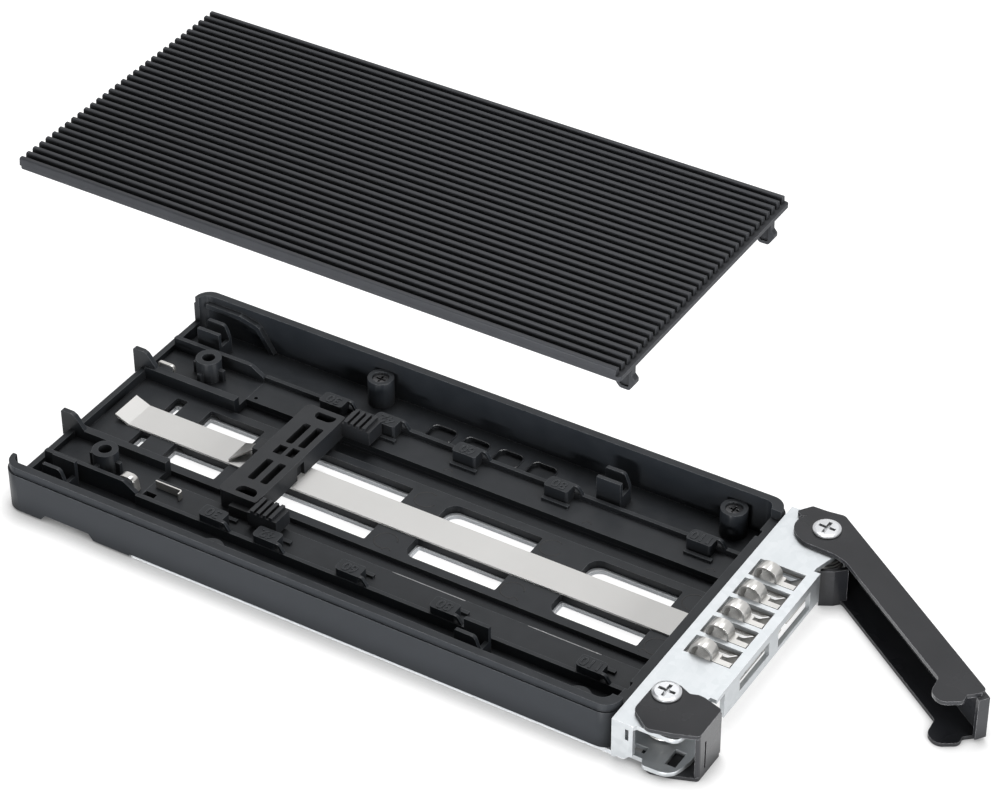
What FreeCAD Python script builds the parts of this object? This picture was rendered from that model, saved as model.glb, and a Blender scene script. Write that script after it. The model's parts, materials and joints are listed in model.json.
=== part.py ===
import FreeCAD, Part
import math
import os
import re
from types import SimpleNamespace

from FreeCAD import Rotation, Vector

# Hot swap drive caddy: a shallow moulded tray for one card-shaped drive, with a finned cover
# that clips on top, and a sheet-metal front end that carries a swinging lever and its latch.
# X runs from the rear, where the connector is, to the lever. Z is up, and Z = 0 is the
# underside of the base plate. Lengths along X are counted from the tray's rear face, and each
# finished piece is moved back by half of the tray, so the origin lies under its middle.
# The cover is drawn lifted off. All sizes are in millimetres.

SIZES = [
    # The tray
    ("tray_length", 130.6, "outside length of the tray"),
    ("tray_width", 65.4, "outside width of the tray"),
    ("tray_corner", 3.5, "outside radius of the corners"),
    ("tray_bore", 2.0, "inside radius of the corners"),
    ("rim_top", 10.4, "height of the side walls' top"),
    ("band_height", 1.6, "height of the narrower band along the rim"),
    ("band_step", 0.35, "how far that band stands in"),
    ("side_wall", 1.9, "thickness of the side walls"),
    ("front_wall", 2.4, "thickness of the front wall"),
    ("rear_wall", 1.2, "thickness of the rear wall"),
    ("front_wall_top", 8.4, "height of the front wall between its corners"),
    ("rear_wall_top", 4.6, "height of the rear wall between its corners"),
    ("wrap", 3.8, "how far the tall corners reach along the end walls"),
    ("skirt_bottom", 0.5, "lowest edge of the side walls near the rear"),
    ("skirt_relief", 1.8, "height of the relief in the skirt"),
    ("trough_floor", 2.1, "top of the floor beside the side walls"),
    ("channel_floor", 2.6, "top of the floor under the card"),
    ("channel_half", 10.4, "half the width of the card's channel"),
    ("trench_outer", 14.3, "outer edge of the trenches beside the channel"),
    ("trench_floor", 1.4, "bottom of those trenches"),
    ("shelf_top", 3.3, "top of the shelves that the stop slides on"),
    ("rib_side", 20.8, "inner face of the ribs along the shelves, from the middle"),
    ("rib_width", 0.85, "width of the ribs"),
    ("rib_top", 4.35, "top of the ribs"),
    ("rail_start", 22.3, "where the trenches and the ribs begin"),
    ("inner_wall", 1.6, "thickness of the inner walls at the rear"),
    ("inner_wall_top", 5.35, "top of the inner walls"),
    ("outer_wall_side", 20.35, "inner face of the outer walls at the rear"),
    ("outer_wall", 0.9, "thickness of the outer walls"),
    ("outer_wall_top", 6.2, "top of the outer walls"),
    ("outer_wall_slope", 3.0, "length of the slope at their front end"),
    ("fin_reach", 1.8, "how far the upright guides stand out of the rear"),
    ("fin_end", 3.5, "front end of the upright guides"),
    ("fin_width", 1.0, "thickness of the upright guides"),
    ("fin_top", 8.45, "top of the upright guides"),
    # The marks for the card lengths
    ("mark_zero", 5.2, "where a card of no length would end"),
    ("card_shortest", 30, "shortest card"),
    ("card_short", 42, "second card, where the stop stands at rest"),
    ("card_middle", 60, "third card"),
    ("card_long", 80, "fourth card"),
    ("last_mark", 15.4, "mark for the longest card, from the tray's front face"),
    ("label_start", 1.2, "number plates, from their marks"),
    ("label_length", 5.1, "length of the number plates"),
    ("label_side", 18.4, "inner side of the number plates, from the middle"),
    ("label_width", 3.1, "width of the number plates"),
    ("label_top", 6.0, "top of the number plates"),
    ("label_arm", 0.5, "thickness of the arm that runs down to the rib"),
    ("bar_side", 17.1, "inner side of the low bar at each mark"),
    ("bar_width", 0.8, "width of those bars"),
    ("bar_height", 0.6, "height of those bars"),
    # Bosses, posts and tabs
    ("boss_along", 12.1, "ring bosses, from the rear face"),
    ("boss_side", 16.7, "ring bosses, from the middle"),
    ("boss_radius", 2.5, "outside radius of the ring bosses"),
    ("boss_bore", 1.3, "radius of the holes in the ring bosses"),
    ("boss_depth", 4.5, "depth of the holes in the ring bosses"),
    ("boss_top", 7.85, "top of the ring bosses"),
    ("gusset", 1.0, "width of the gussets on the bosses"),
    ("post_rear", 44.2, "rear screw posts, from the rear face"),
    ("post_front", 9.6, "front screw posts, from the front face"),
    ("post_side", 4.3, "screw posts, from the tray's sides"),
    ("post_radius", 2.6, "outside radius of the screw posts"),
    ("post_top", 8.0, "top of the posts on the far side"),
    ("post_low", 6.2, "top of the posts on the near side"),
    ("tab_rear", 5.1, "rear catch tabs, from the rear face"),
    ("tab_front", 35.4, "front catch tabs, from the front face"),
    ("tab_length", 5.1, "length of the catch tabs"),
    ("tab_inner", 22.8, "inner catch tab, from the middle"),
    ("tab_outer", 26.1, "outer catch tab, from the middle"),
    ("tab_thickness", 0.8, "thickness of the catch tabs"),
    ("tab_top", 8.4, "top of the catch tabs"),
    ("clip_sheet", 0.3, "thickness of the spring clips"),
    ("leaf_start", 23.5, "rear end of the near leaf clip"),
    ("leaf_length", 5.9, "length of the near leaf clip"),
    ("leaf_side", 16.6, "near leaf clip, from the middle"),
    ("leaf_top", 5.0, "top of the near leaf clip"),
    ("arch_start", 17.4, "rear foot of the near arched clip"),
    ("arch_length", 3.9, "length of the near arched clip"),
    ("arch_side", 18.6, "near arched clip, from the middle"),
    ("arch_width", 1.6, "width of the near arched clip"),
    ("arch_top", 6.5, "top of the near arched clip"),
    ("curl_start", 2.3, "rear end of the far curled clip"),
    ("curl_length", 4.3, "length of the far curled clip"),
    ("curl_side", 12.4, "far curled clip, from the middle"),
    ("curl_top", 6.2, "top of the far curled clip"),
    # Floor windows, on each side of the thermal strip
    ("window_inner", 3.3, "inner edge of the windows"),
    ("window_outer", 8.5, "outer edge of the windows"),
    ("window_gap", 0.5, "how far the base plate shows inside the windows"),
    # Blind slots in the floor beside the far wall
    ("slot_first", 57.0, "rear end of the first slot"),
    ("slot_pitch", 7.4, "distance between the slots"),
    ("slot_length", 5.2, "length of the slots"),
    ("slot_inner", 23.4, "inner edge of the slots, from the middle"),
    ("slot_outer", 27.6, "outer edge of the slots, from the middle"),
    ("slot_round", 1.2, "radius of the slots' corners"),
    # The base plate and its screws
    ("base_sheet", 0.9, "thickness of the base plate"),
    ("base_margin", 0.4, "from the tray's side to the base plate's side"),
    ("base_start", 28.7, "where the base plate reaches its full width"),
    ("tongue_start", 2.0, "rear end of the base plate's tongue"),
    ("tongue_margin", 3.3, "from the tray's side to the side of that tongue"),
    ("base_reach", 0.6, "how far the base plate passes the tray's front"),
    ("screw_radius", 1.0, "shank radius of the base screws"),
    ("screw_head", 1.6, "head radius of the base screws"),
    ("screw_head_height", 0.9, "head height of the base screws"),
    ("screw_sink", 0.5, "how far the heads lie under the posts' tops"),
    ("fit", 0.05, "clearance round a fixed shank"),
    # The thermal strip
    ("strip_start", 4.3, "rear end of the thermal strip"),
    ("strip_front", 5.0, "front end of the thermal strip, from the front face"),
    ("strip_half", 3.45, "half the width of the thermal strip"),
    ("strip_thickness", 0.4, "thickness of the thermal strip"),
    ("strip_rise", 1.3, "how far its rear end is folded up"),
    ("strip_fold", 2.8, "length of the part that is folded up"),
    # The sliding stop
    ("stop_length", 8.5, "length of the stop's bridge"),
    ("stop_back", 2.2, "distance from the stop's front face to its mark"),
    ("stop_top", 7.4, "top of the bridge"),
    ("stop_lift", 0.1, "clearance of the stop over the shelves"),
    ("stop_roof", 1.0, "thickness of the hollow wings' tops"),
    ("wing_inner", 10.8, "inner side of the hollow under the wings"),
    ("wing_half", 15.0, "outer end of the bridge's wings, from the middle"),
    ("wing_wall", 0.6, "thickness of the wings' outer walls"),
    ("arm_inner", 14.6, "inner side of the arms that carry the grips"),
    ("arm_outer", 16.2, "outer side of the arms"),
    ("arm_top", 5.5, "top of the arms"),
    ("grip_length", 6.3, "length of the ribbed grips"),
    ("grip_inner", 13.3, "inner side of the grips"),
    ("grip_outer", 17.7, "outer side of the grips"),
    ("grip_bottom", 4.2, "underside of the grips"),
    ("grip_base", 7.2, "top of the grips between the ridges"),
    ("grip_pitch", 1.35, "distance between the ridges"),
    ("ridge_height", 0.7, "height of the ridges"),
    ("catch_reach", 6.2, "how far the catch's leaf reaches to the rear"),
    ("catch_tip", 3.35, "height of the leaf's tip"),
    ("catch_level", 5.5, "height of the leaf in its socket"),
    ("catch_sheet", 0.3, "thickness of the leaf"),
    ("catch_near", 3.4, "near corner of the leaf's tip, from the middle"),
    ("catch_far", 2.9, "far corner of the leaf's tip, from the middle"),
    ("catch_middle", 0.5, "middle of the leaf's root"),
    ("catch_root", 1.0, "half the width of the leaf's root"),
    ("housing_length", 1.9, "how far the catch's housing stands out of the bridge"),
    ("housing_half", 1.7, "half the width of that housing"),
    ("housing_top", 6.8, "top of that housing"),
    ("plunger_radius", 0.5, "radius of the sprung plungers"),
    ("plunger_length", 1.5, "length of the sprung plungers"),
    # The cover
    ("cover_start", 9.4, "rear edge of the cover, from the tray's rear face"),
    ("cover_front", 2.3, "front edge of the cover, from the tray's front face"),
    ("cover_half", 28.85, "half the width of the cover"),
    ("cover_plate", 0.8, "thickness of the cover's plate"),
    ("cover_seat", 8.5, "underside of the plate when it is clipped on"),
    ("cover_lift", 67.9, "how far the cover is lifted off"),
    ("fin_height", 1.25, "height of the cooling fins"),
    ("fin_pitch", 1.83, "distance between the fins"),
    ("fin_root", 1.25, "thickness of a fin at its root"),
    ("fin_tip", 0.95, "thickness of a fin at its tip"),
    ("fin_round", 0.35, "radius along the fins' tips"),
    ("fin_short", 0.9, "how far the fins stop short of the front edge"),
    ("hook_drop", 4.8, "how far the front hooks reach under the plate"),
    ("hook_length", 2.9, "length of the front hooks"),
    ("hook_foot", 0.6, "how far a hook's nose bulges out"),
    ("hook_inner", 23.1, "inner side of the front hooks"),
    ("hook_outer", 24.4, "outer side of the front hooks"),
    ("hook_pocket", 0.35, "depth of the pockets in the front hooks"),
    ("hook_margin", 0.4, "front hooks to the cover's front edge"),
    ("rear_hook_inner", 19.6, "inner side of the rear hooks"),
    ("rear_hook_outer", 23.6, "outer side of the rear hooks"),
    ("rear_hook_sheet", 0.9, "thickness of the rear hooks"),
    ("rear_hook_margin", 1.3, "rear hooks, from the cover's rear edge"),
    ("rear_hook_drop", 2.0, "how far the rear hooks reach under the plate"),
    ("pad_thickness", 0.8, "thickness of the pad under the cover"),
    ("pad_half", 10.8, "half the width of the pad"),
    ("pad_margin", 8.0, "from the cover's ends to the pad"),
    # The front bracket
    ("sheet", 0.9, "thickness of the bracket's sheet"),
    ("bracket_depth", 13.0, "how far the bracket stands out of the tray"),
    ("bracket_top", 9.4, "top of the bracket"),
    ("face_bottom", 3.0, "lower edge of the bracket's front face"),
    ("face_near", 17.3, "near end of the front face"),
    ("face_far", 18.3, "far end of the front face"),
    ("bracket_near", 33.4, "near end of the bracket"),
    ("bracket_far", 32.5, "far end of the bracket"),
    ("tongue_inner", 22.8, "inner edge of the two lower tongues"),
    ("rivet_radius", 0.9, "shank radius of the rivets"),
    ("rivet_head", 1.5, "head radius of the rivets"),
    ("rivet_height", 5.6, "height of the rivets"),
    ("rivet_side", 15.0, "rivets, from the middle"),
    # The contact fingers
    ("finger_pitch", 5.95, "distance between the fingers"),
    ("finger_first", 9.7, "middle of the nearest window, from the middle"),
    ("finger_width", 2.4, "width of a finger's hoop"),
    ("finger_edge", 0.15, "hoops, from the near edges of their windows"),
    ("finger_window", 4.9, "width of the windows that they rise through"),
    ("finger_sheet", 0.4, "thickness of the fingers"),
    ("finger_top", 11.9, "top of the fingers"),
    ("finger_rear", 3.3, "rear foot of the hoops, from the tray's front"),
    ("finger_front", 7.4, "front foot of the hoops, from the tray's front"),
    ("hoop_bend", 1.75, "radius of the two upper bends of a hoop"),
    ("finger_lip", 1.2, "width of the flush lip in front of a hoop"),
    ("bowl_bottom", 6.4, "lowest line of the bowl under each window"),
    ("window_rear", 2.0, "rear edge of the finger windows, from the tray's front"),
    ("window_front", 11.1, "front edge of the finger windows, from the tray's front"),
    ("liner_sheet", 0.5, "thickness of the strip's liner behind the front face"),
    ("liner_bottom", 5.3, "lower edge of that liner"),
    # The lever
    ("lever_ahead", 9.0, "lever's pivot, from the tray's front"),
    ("lever_side", 28.6, "lever's pivot, from the middle"),
    ("lever_open", 35.3, "angle of the open lever from the X axis, in degrees"),
    ("lever_length", 49.8, "from the pivot to the lever's tip"),
    ("lever_web", 4.96, "outer face of the lever's web, from the pivot"),
    ("lever_flange", 6.0, "width of the lever's flanges"),
    ("lever_sheet", 0.8, "thickness of the lever's sheet"),
    ("lobe_radius", 3.2, "radius of the lobe at the tip"),
    ("lobe_back", 3.9, "lobe's centre, from the tip"),
    ("heel_radius", 8.8, "outer radius of the heel wall"),
    ("heel_top", 8.0, "top of the heel wall"),
    # The latch
    ("latch_ahead", 5.4, "latch's pivot, from the tray's front"),
    ("latch_side", 24.1, "latch's pivot, from the middle"),
    ("latch_face", 15.4, "latch's front face, from the tray's front"),
    ("latch_near", 30.7, "near end of the latch's front face"),
    ("latch_far", 22.9, "far end of the latch's front face"),
    ("slit_start", 2.0, "slit in the latch's front face, from the face's near end"),
    ("slit_width", 0.5, "width of that slit"),
    ("slit_bottom", 1.5, "lower end of that slit"),
    ("slit_top", 7.6, "upper end of that slit"),
    # Pivots
    ("pivot_screw", 1.5, "radius of the pivots"),
    ("pivot_fit", 0.08, "running clearance round the pivots"),
    ("pivot_post", 2.4, "radius of the pivot posts"),
    ("pivot_head", 2.6, "radius of the pivot screws' heads"),
    ("pivot_head_height", 0.6, "height of the pivot screws' heads"),
    ("pivot_play", 0.1, "play above and below the moving channels"),
    ("spring_wire", 0.5, "wire of the torsion springs"),
    ("spring_radius", 3.1, "mean radius of the torsion springs"),
    ("spring_pitch", 0.8, "pitch of the torsion springs"),
    ("spring_turns", 4, "turns of the torsion springs"),
    ("lever_spring_turn", 130, "direction of the lever spring's legs, in degrees"),
    ("latch_spring_turn", 210, "direction of the latch spring's legs, in degrees"),
]

# Windows in the floor: rear end and front end as shares of the tray's length, and the radius
# of the rear outer corner
WINDOWS = [
    ("Vent", 0.0785, 0.0980, 0.3),
    ("Rear", 0.1394, 0.2351, 0.3),
    ("Middle", 0.2986, 0.4923, 0.3),
    ("Third", 0.5551, 0.7067, 2.4),
    ("Front", 0.7887, 0.9303, 2.4),
]
FINGERS = 5
SLOTS = 4

# Notches in the contact strip's liner: both ends, from the middle, and both edges' heights
LINER_NOTCHES = [(5.4, 7.4, 4.6, 6.2), (9.6, 12.9, 5.9, 6.9)]

doc = FreeCAD.newDocument("HotSwapDriveCaddy")
sheet = doc.addObject("Spreadsheet::Sheet", "Sizes")
for row, (alias, number, note) in enumerate(SIZES, start=1):
    sheet.set(f"A{row}", note)
    sheet.set(f"B{row}", str(number))
    sheet.setAlias(f"B{row}", alias)
doc.recompute()
s = SimpleNamespace(**{alias: float(sheet.get(alias)) for alias, number, note in SIZES})

# Where the marks for the card lengths lie, from the rear face
MARKS = [s.mark_zero + s.card_shortest, s.mark_zero + s.card_short, s.mark_zero + s.card_middle,
         s.mark_zero + s.card_long, s.tray_length - s.last_mark]
POSTS = ("post_rear", "tray_length - post_front")
POST_SIDE = "(tray_width / 2 - post_side)"
COVER_LENGTH = "(tray_length - cover_front - cover_start)"

ALIAS = re.compile(r"[a-z][a-z_]+")
finished = []


def tie(thing, prop, formula):
    """Tie one property to the sheet. Every word of the formula is one of its aliases."""
    thing.setExpression(prop, ALIAS.sub(r"Sizes.\g<0>", str(formula)))


def block(name, x, y, z):
    """A box that lies between two formulas along each axis."""
    box = doc.addObject("Part::Box", name)
    for axis, side, (low, high) in zip("xyz", ("Length", "Width", "Height"), (x, y, z)):
        tie(box, f"Placement.Base.{axis}", low)
        tie(box, side, f"({high}) - ({low})")
    return box


def rod(name, x, y, z, radius):
    """An upright cylinder from z[0] to z[1]."""
    cylinder = doc.addObject("Part::Cylinder", name)
    tie(cylinder, "Placement.Base.x", x)
    tie(cylinder, "Placement.Base.y", y)
    tie(cylinder, "Placement.Base.z", z[0])
    tie(cylinder, "Height", f"({z[1]}) - ({z[0]})")
    tie(cylinder, "Radius", radius)
    return cylinder


def lying_rod(name, x, y, z, radius, along):
    """A cylinder that lies along X or Y, between the two formulas given for that axis."""
    cylinder = doc.addObject("Part::Cylinder", name)
    turn = Rotation(Vector(0, 0, 1), Vector(1, 0, 0) if along == "x" else Vector(0, 1, 0))
    cylinder.Placement.Rotation = turn
    low, high = x if along == "x" else y
    tie(cylinder, "Placement.Base.x", low if along == "x" else x)
    tie(cylinder, "Placement.Base.y", low if along == "y" else y)
    tie(cylinder, "Placement.Base.z", z)
    tie(cylinder, "Height", f"({high}) - ({low})")
    tie(cylinder, "Radius", radius)
    return cylinder


def corner(before, point, after, radius):
    """Where a rounded corner leaves its two sides, and the middle of its arc."""
    back = (before - point).normalize()
    ahead = (after - point).normalize()
    half = back.getAngle(ahead) / 2
    middle = point + (back + ahead).normalize() * (radius / math.sin(half) - radius)
    reach = radius / math.tan(half)
    return point + back * reach, middle, point + ahead * reach


def outline(points):
    """Lines and arcs of a closed outline. A third number in a point rounds that corner."""
    spots = [Vector(p[0], p[1], 0) for p in points]
    turns = []
    for i, p in enumerate(points):
        radius = p[2] if len(p) > 2 else 0
        if radius > 0:
            turns.append(corner(spots[i - 1], spots[i], spots[(i + 1) % len(spots)], radius))
        else:
            turns.append((spots[i], spots[i], spots[i]))
    edges = []
    for i, (start, middle, end) in enumerate(turns):
        if (end - start).Length > 1e-6:
            edges.append(Part.Arc(start, middle, end))
        following = turns[(i + 1) % len(turns)][0]
        if (following - end).Length > 1e-6:
            edges.append(Part.LineSegment(end, following))
    return edges


def plan(name, points, z):
    """A plate whose outline is seen from above, between the two formulas for Z."""
    sketch = doc.addObject("Sketcher::SketchObject", name + "Sketch")
    sketch.addGeometry(outline(points))
    tie(sketch, "Placement.Base.z", z[0])
    return extrusion(name, sketch, Vector(0, 0, 1), z)


def side_view(name, points, y):
    """A plate whose outline is seen from the near side, as X and Z, between two formulas for Y."""
    sketch = doc.addObject("Sketcher::SketchObject", name + "Sketch")
    sketch.addGeometry(outline(points))
    sketch.Placement.Rotation = Rotation(Vector(1, 0, 0), 90)
    tie(sketch, "Placement.Base.y", y[0])
    return extrusion(name, sketch, Vector(0, 1, 0), y)


def extrusion(name, sketch, direction, ends):
    solid = doc.addObject("Part::Extrusion", name)
    solid.Base = sketch
    solid.DirMode = "Custom"
    solid.Dir = direction
    solid.Solid = True
    tie(solid, "LengthFwd", f"({ends[1]}) - ({ends[0]})")
    return solid


def bent(path, thickness, radius):
    """Outline of a strip of even thickness that follows a path and is bent at its points.

    A third number in a point is the radius of its bend, in place of the usual one."""
    spots = [Vector(p[0], p[1], 0) for p in path]
    left, right = [], []
    for i, spot in enumerate(spots):
        ways = []
        if i > 0:
            ways.append((spot - spots[i - 1]).normalize())
        if i < len(spots) - 1:
            ways.append((spots[i + 1] - spot).normalize())
        normals = [Vector(-w.y, w.x, 0) for w in ways]
        across = sum(normals[1:], normals[0]).normalize()
        across = across * (thickness / 2 / across.dot(normals[0]))
        turning = 0 if len(ways) < 2 else ways[0].cross(ways[1]).z
        turn = path[i][2] if len(path[i]) > 2 else radius
        inside, outside = turn - thickness / 2, turn + thickness / 2
        for side, sign in ((left, 1), (right, -1)):
            bend = 0 if turning == 0 else inside if turning * sign > 0 else outside
            side.append(((spot + across * sign).x, (spot + across * sign).y, bend))
    return left + right[::-1]


def fuse(name, *parts):
    whole = doc.addObject("Part::MultiFuse", name)
    whole.Shapes = list(parts)
    whole.Refine = True
    return whole


def cut(name, base, *tools):
    result = doc.addObject("Part::Cut", name)
    result.Base = base
    result.Tool = tools[0] if len(tools) == 1 else fuse(name + "Tools", *tools)
    result.Refine = True
    return result


def mirrored(name, part):
    """The same form on the near side of the middle."""
    other = doc.addObject("Part::Mirroring", name)
    other.Source = part
    other.Normal = Vector(0, 1, 0)
    return other


def group(name, *parts):
    whole = doc.addObject("Part::Compound", name)
    whole.Links = list(parts)
    return whole


def finish(thing, label):
    """Name a finished piece and move it back by half of the tray."""
    thing.Label = label
    tie(thing, "Placement.Base.x", "-tray_length / 2")
    finished.append(thing)
    return thing


def cross_recess(name, x, y, z, radius):
    """The cross in a screw's head, as two crossed blades."""
    long_side = (f"{x} - 0.62 * ({radius})", f"{x} + 0.62 * ({radius})")
    thin_side = (f"{x} - 0.13 * ({radius})", f"{x} + 0.13 * ({radius})")
    long_way = (f"{y} - 0.62 * ({radius})", f"{y} + 0.62 * ({radius})")
    thin_way = (f"{y} - 0.13 * ({radius})", f"{y} + 0.13 * ({radius})")
    return fuse(name, block(name + "Along", long_side, thin_way, z),
                block(name + "Across", thin_side, long_way, z))


def tray_shell():
    """Floor and walls: an open box with tall corners, a stepped rim and a relieved skirt."""
    half = s.tray_width / 2
    inner = half - s.side_wall
    step = s.band_step
    body = plan("TrayBody", [(0, -half, s.tray_corner), (s.tray_length, -half, s.tray_corner),
                             (s.tray_length, half, s.tray_corner), (0, half, s.tray_corner)],
                ("skirt_bottom", "rim_top - band_height"))
    corner_up = s.tray_corner - step
    band = plan("TrayBand", [(step, step - half, corner_up),
                             (s.tray_length - step, step - half, corner_up),
                             (s.tray_length - step, half - step, corner_up),
                             (step, half - step, corner_up)],
                ("rim_top - band_height", "rim_top"))
    front = s.tray_length - s.front_wall
    hollow = plan("TrayHollow", [(s.rear_wall, -inner, s.tray_bore), (front, -inner, s.tray_bore),
                                 (front, inner, s.tray_bore), (s.rear_wall, inner, s.tray_bore)],
                  ("trough_floor", "rim_top + 1"))
    between = ("-(tray_width / 2 - wrap)", "tray_width / 2 - wrap")
    rear_gap = block("RearGap", ("-1", "rear_wall + 1"), between, ("rear_wall_top", "rim_top + 1"))
    front_gap = block("FrontGap", ("tray_length - front_wall - 1", "tray_length + 1"), between,
                      ("front_wall_top", "rim_top + 1"))
    across = ("-tray_width", "tray_width")
    low = s.skirt_bottom - 1
    relief = side_view("SkirtRelief", [(7.6, low), (9.7, s.skirt_relief), (19.6, s.skirt_relief),
                                       (21.4, low)], across)
    seat = block("BaseSeat", ("base_start", "tray_length + 1"), across,
                 ("skirt_bottom - 1", "base_sheet"))
    tongue_seat = block("TongueSeat", ("tongue_start - 0.2", "base_start + 1"),
                        ("-(tray_width / 2 - tongue_margin + 0.2)",
                         "tray_width / 2 - tongue_margin + 0.2"),
                        ("skirt_bottom - 1", "base_sheet"))
    shell = fuse("TrayWalls", body, band)
    return cut("TrayShell", shell, hollow, rear_gap, front_gap, relief, seat, tongue_seat)


def windows_of_floor():
    """Name, rear end, front end and rear corner radius of each window in the floor."""
    return [(name, rear * s.tray_length, front * s.tray_length, radius)
            for name, rear, front, radius in WINDOWS]


def guide_low():
    """Lower edge of the upright guides where they stand out of the rear wall."""
    return s.skirt_relief + 0.9


def rear_rails():
    """What stands beside the card's rear end: guide, inner wall, ring boss, outer wall."""
    beside = "channel_half + inner_wall"
    inner = block("InnerWall", ("rear_wall", "rail_start"), ("channel_half", beside),
                  ("trough_floor", "inner_wall_top"))
    shelf = block("RearShelf", ("rear_wall", "rail_start"),
                  (f"{beside} - 0.2", "outer_wall_side + 0.2"), ("trough_floor", "shelf_top"))
    outer = side_view("OuterWall", [(s.rear_wall, s.trough_floor), (s.rail_start, s.trough_floor),
                                    (s.rail_start, s.rib_top, 0.5),
                                    (s.rail_start - s.outer_wall_slope, s.outer_wall_top, 1.0),
                                    (s.rear_wall, s.outer_wall_top)],
                      ("outer_wall_side", "outer_wall_side + outer_wall"))
    guide = side_view("RearGuide", [(-s.fin_reach, guide_low()), (s.fin_end, guide_low()),
                                    (s.fin_end, s.inner_wall_top),
                                    (s.fin_end - 2.0, s.fin_top - 0.4, 1.2),
                                    (0.6, s.fin_top, 0.6), (-s.fin_reach, s.fin_top, 0.4)],
                      (f"{beside} - fin_width", beside))
    low = "trough_floor"
    wide = "boss_radius + gusset"
    boss = rod("Boss", "boss_along", "boss_side", (low, "boss_top"), "boss_radius")
    along = block("GussetAlong", (f"boss_along - ({wide})", f"boss_along + ({wide})"),
                  ("boss_side - 0.4", "boss_side + 0.4"), (low, "boss_top - 2"))
    across = block("GussetAcross", ("boss_along - 0.4", "boss_along + 0.4"),
                   (f"boss_side - ({wide})", f"boss_side + ({wide})"), (low, "boss_top - 2"))
    bore = rod("BossBore", "boss_along", "boss_side", ("boss_top - boss_depth", "boss_top + 1"),
               "boss_bore")
    whole = cut("RearRails", fuse("RearSolids", inner, shelf, outer, guide, boss, along, across),
                bore)
    finish(group("RearRailFar", whole), "rear_rail_far")
    finish(group("RearRailNear", mirrored("RearRailsNear", whole)), "rear_rail_near")


def number_plate(place):
    """What stands on the shelf at a mark: number plate, curved arm and low bar."""
    start = place + s.label_start
    end = start + s.label_length
    outer = s.label_side + s.label_width
    plate = plan("NumberPlate", [(start, s.label_side, 0.5), (end, s.label_side, 0.5),
                                 (end, outer, 0.3), (start, outer, 0.9)],
                 ("shelf_top - 0.1", "label_top"))
    level = s.label_top - s.label_arm / 2
    path = [(end - 0.4, level), (end + 0.8, level), (end + 1.9, s.rib_top - 0.3)]
    arm = side_view("PlateArm", bent(path, s.label_arm, 0.8),
                    ("label_side + label_width - 0.7", "label_side + label_width"))
    bar = block("MarkBar", (start + 0.3, end + 0.9),
                ("bar_side", "bar_side + bar_width"), ("shelf_top - 0.1", "shelf_top + bar_height"))
    return [plate, arm, bar]


def rails():
    """The two shelves that the stop slides on, with their ribs and marks."""
    run = ("rail_start", "tray_length - front_wall")
    shelf = block("Shelf", run, ("trench_outer", "rib_side + rib_width"),
                  ("trough_floor", "shelf_top"))
    rib = block("Rib", run, ("rib_side", "rib_side + rib_width"), ("trough_floor", "rib_top"))
    marks = [solid for place in MARKS for solid in number_plate(place)]
    whole = fuse("RailSolids", shelf, rib, *marks)
    through = ("trough_floor - 1", "shelf_top + 1")
    dot = rod("ShelfDot", "rail_start + 1.5", "trench_outer + 1.2", through, "0.4")
    slot = block("ShelfSlot", ("rail_start + 0.2", "rail_start + 2.7"),
                 ("-(label_side + 1.2)", "-label_side"), through)
    finish(cut("RailFar", whole, dot), "rail_far")
    finish(cut("RailNear", mirrored("RailMirror", whole), slot), "rail_near")


def catch_tabs():
    """Four pairs of plates that the cover's hooks and corners seat between."""
    tabs = []
    for name, start in (("Rear", s.tab_rear), ("Front", s.tray_length - s.tab_front)):
        end = start + s.tab_length
        inner = block(f"{name}InnerTab", (start, end), ("tab_inner", "tab_inner + tab_thickness"),
                      ("trough_floor", "tab_top"))
        outer = side_view(f"{name}OuterTab", [(start, s.trough_floor), (end, s.trough_floor),
                                              (end, s.tab_top - 2.6, 0.8),
                                              (end - 1.0, s.tab_top, 1.0),
                                              (start, s.tab_top, 0.3)],
                          ("tab_outer", "tab_outer + tab_thickness"))
        foot = block(f"{name}TabFoot", (f"{end} - tab_thickness", end),
                     ("tab_inner", "tab_outer + tab_thickness"), ("trough_floor", "tab_top - 3.2"))
        pair = fuse(f"{name}Tabs", inner, outer, foot)
        tabs += [pair, mirrored(f"{name}TabsNear", pair)]
    return finish(group("CatchTabs", *tabs), "catch_tabs")


def screw_posts():
    """Four bored posts for the base screws, taller on the far side, flat against the walls."""
    posts = []
    for along in POSTS:
        for sign, top in (("", "post_top"), ("-", "post_low")):
            y = f"{sign}{POST_SIDE}"
            post = rod("Post", along, y, ("trough_floor", top), "post_radius")
            wall = ("tray_width / 2 - side_wall", "tray_width / 2")
            if sign:
                wall = ("-tray_width / 2", "-(tray_width / 2 - side_wall)")
            beyond = block("PostFlat", (f"{along} - post_radius", f"{along} + post_radius"), wall,
                           ("0", f"{top} + 1"))
            bore = rod("PostBore", along, y, ("-1", f"{top} + 1"), "screw_radius + fit")
            sink = rod("PostSink", along, y, (f"{top} - screw_sink - screw_head_height",
                                              f"{top} + 1"), "screw_head + fit")
            posts.append(cut("BoredPost", post, beyond, bore, sink))
    return finish(group("ScrewPosts", *posts), "screw_posts")


def rim_bead():
    """Curved bead on the far wall, over the rear catch tabs."""
    path = [(2.4, s.tab_top), (10.4, s.tab_top), (14.4, s.tab_top - 1.0), (17.7, s.trough_floor)]
    return side_view("WallBead", bent(path, 1.0, 1.2),
                     ("tray_width / 2 - side_wall - 1.1", "tray_width / 2 - side_wall + 0.2"))


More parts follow.
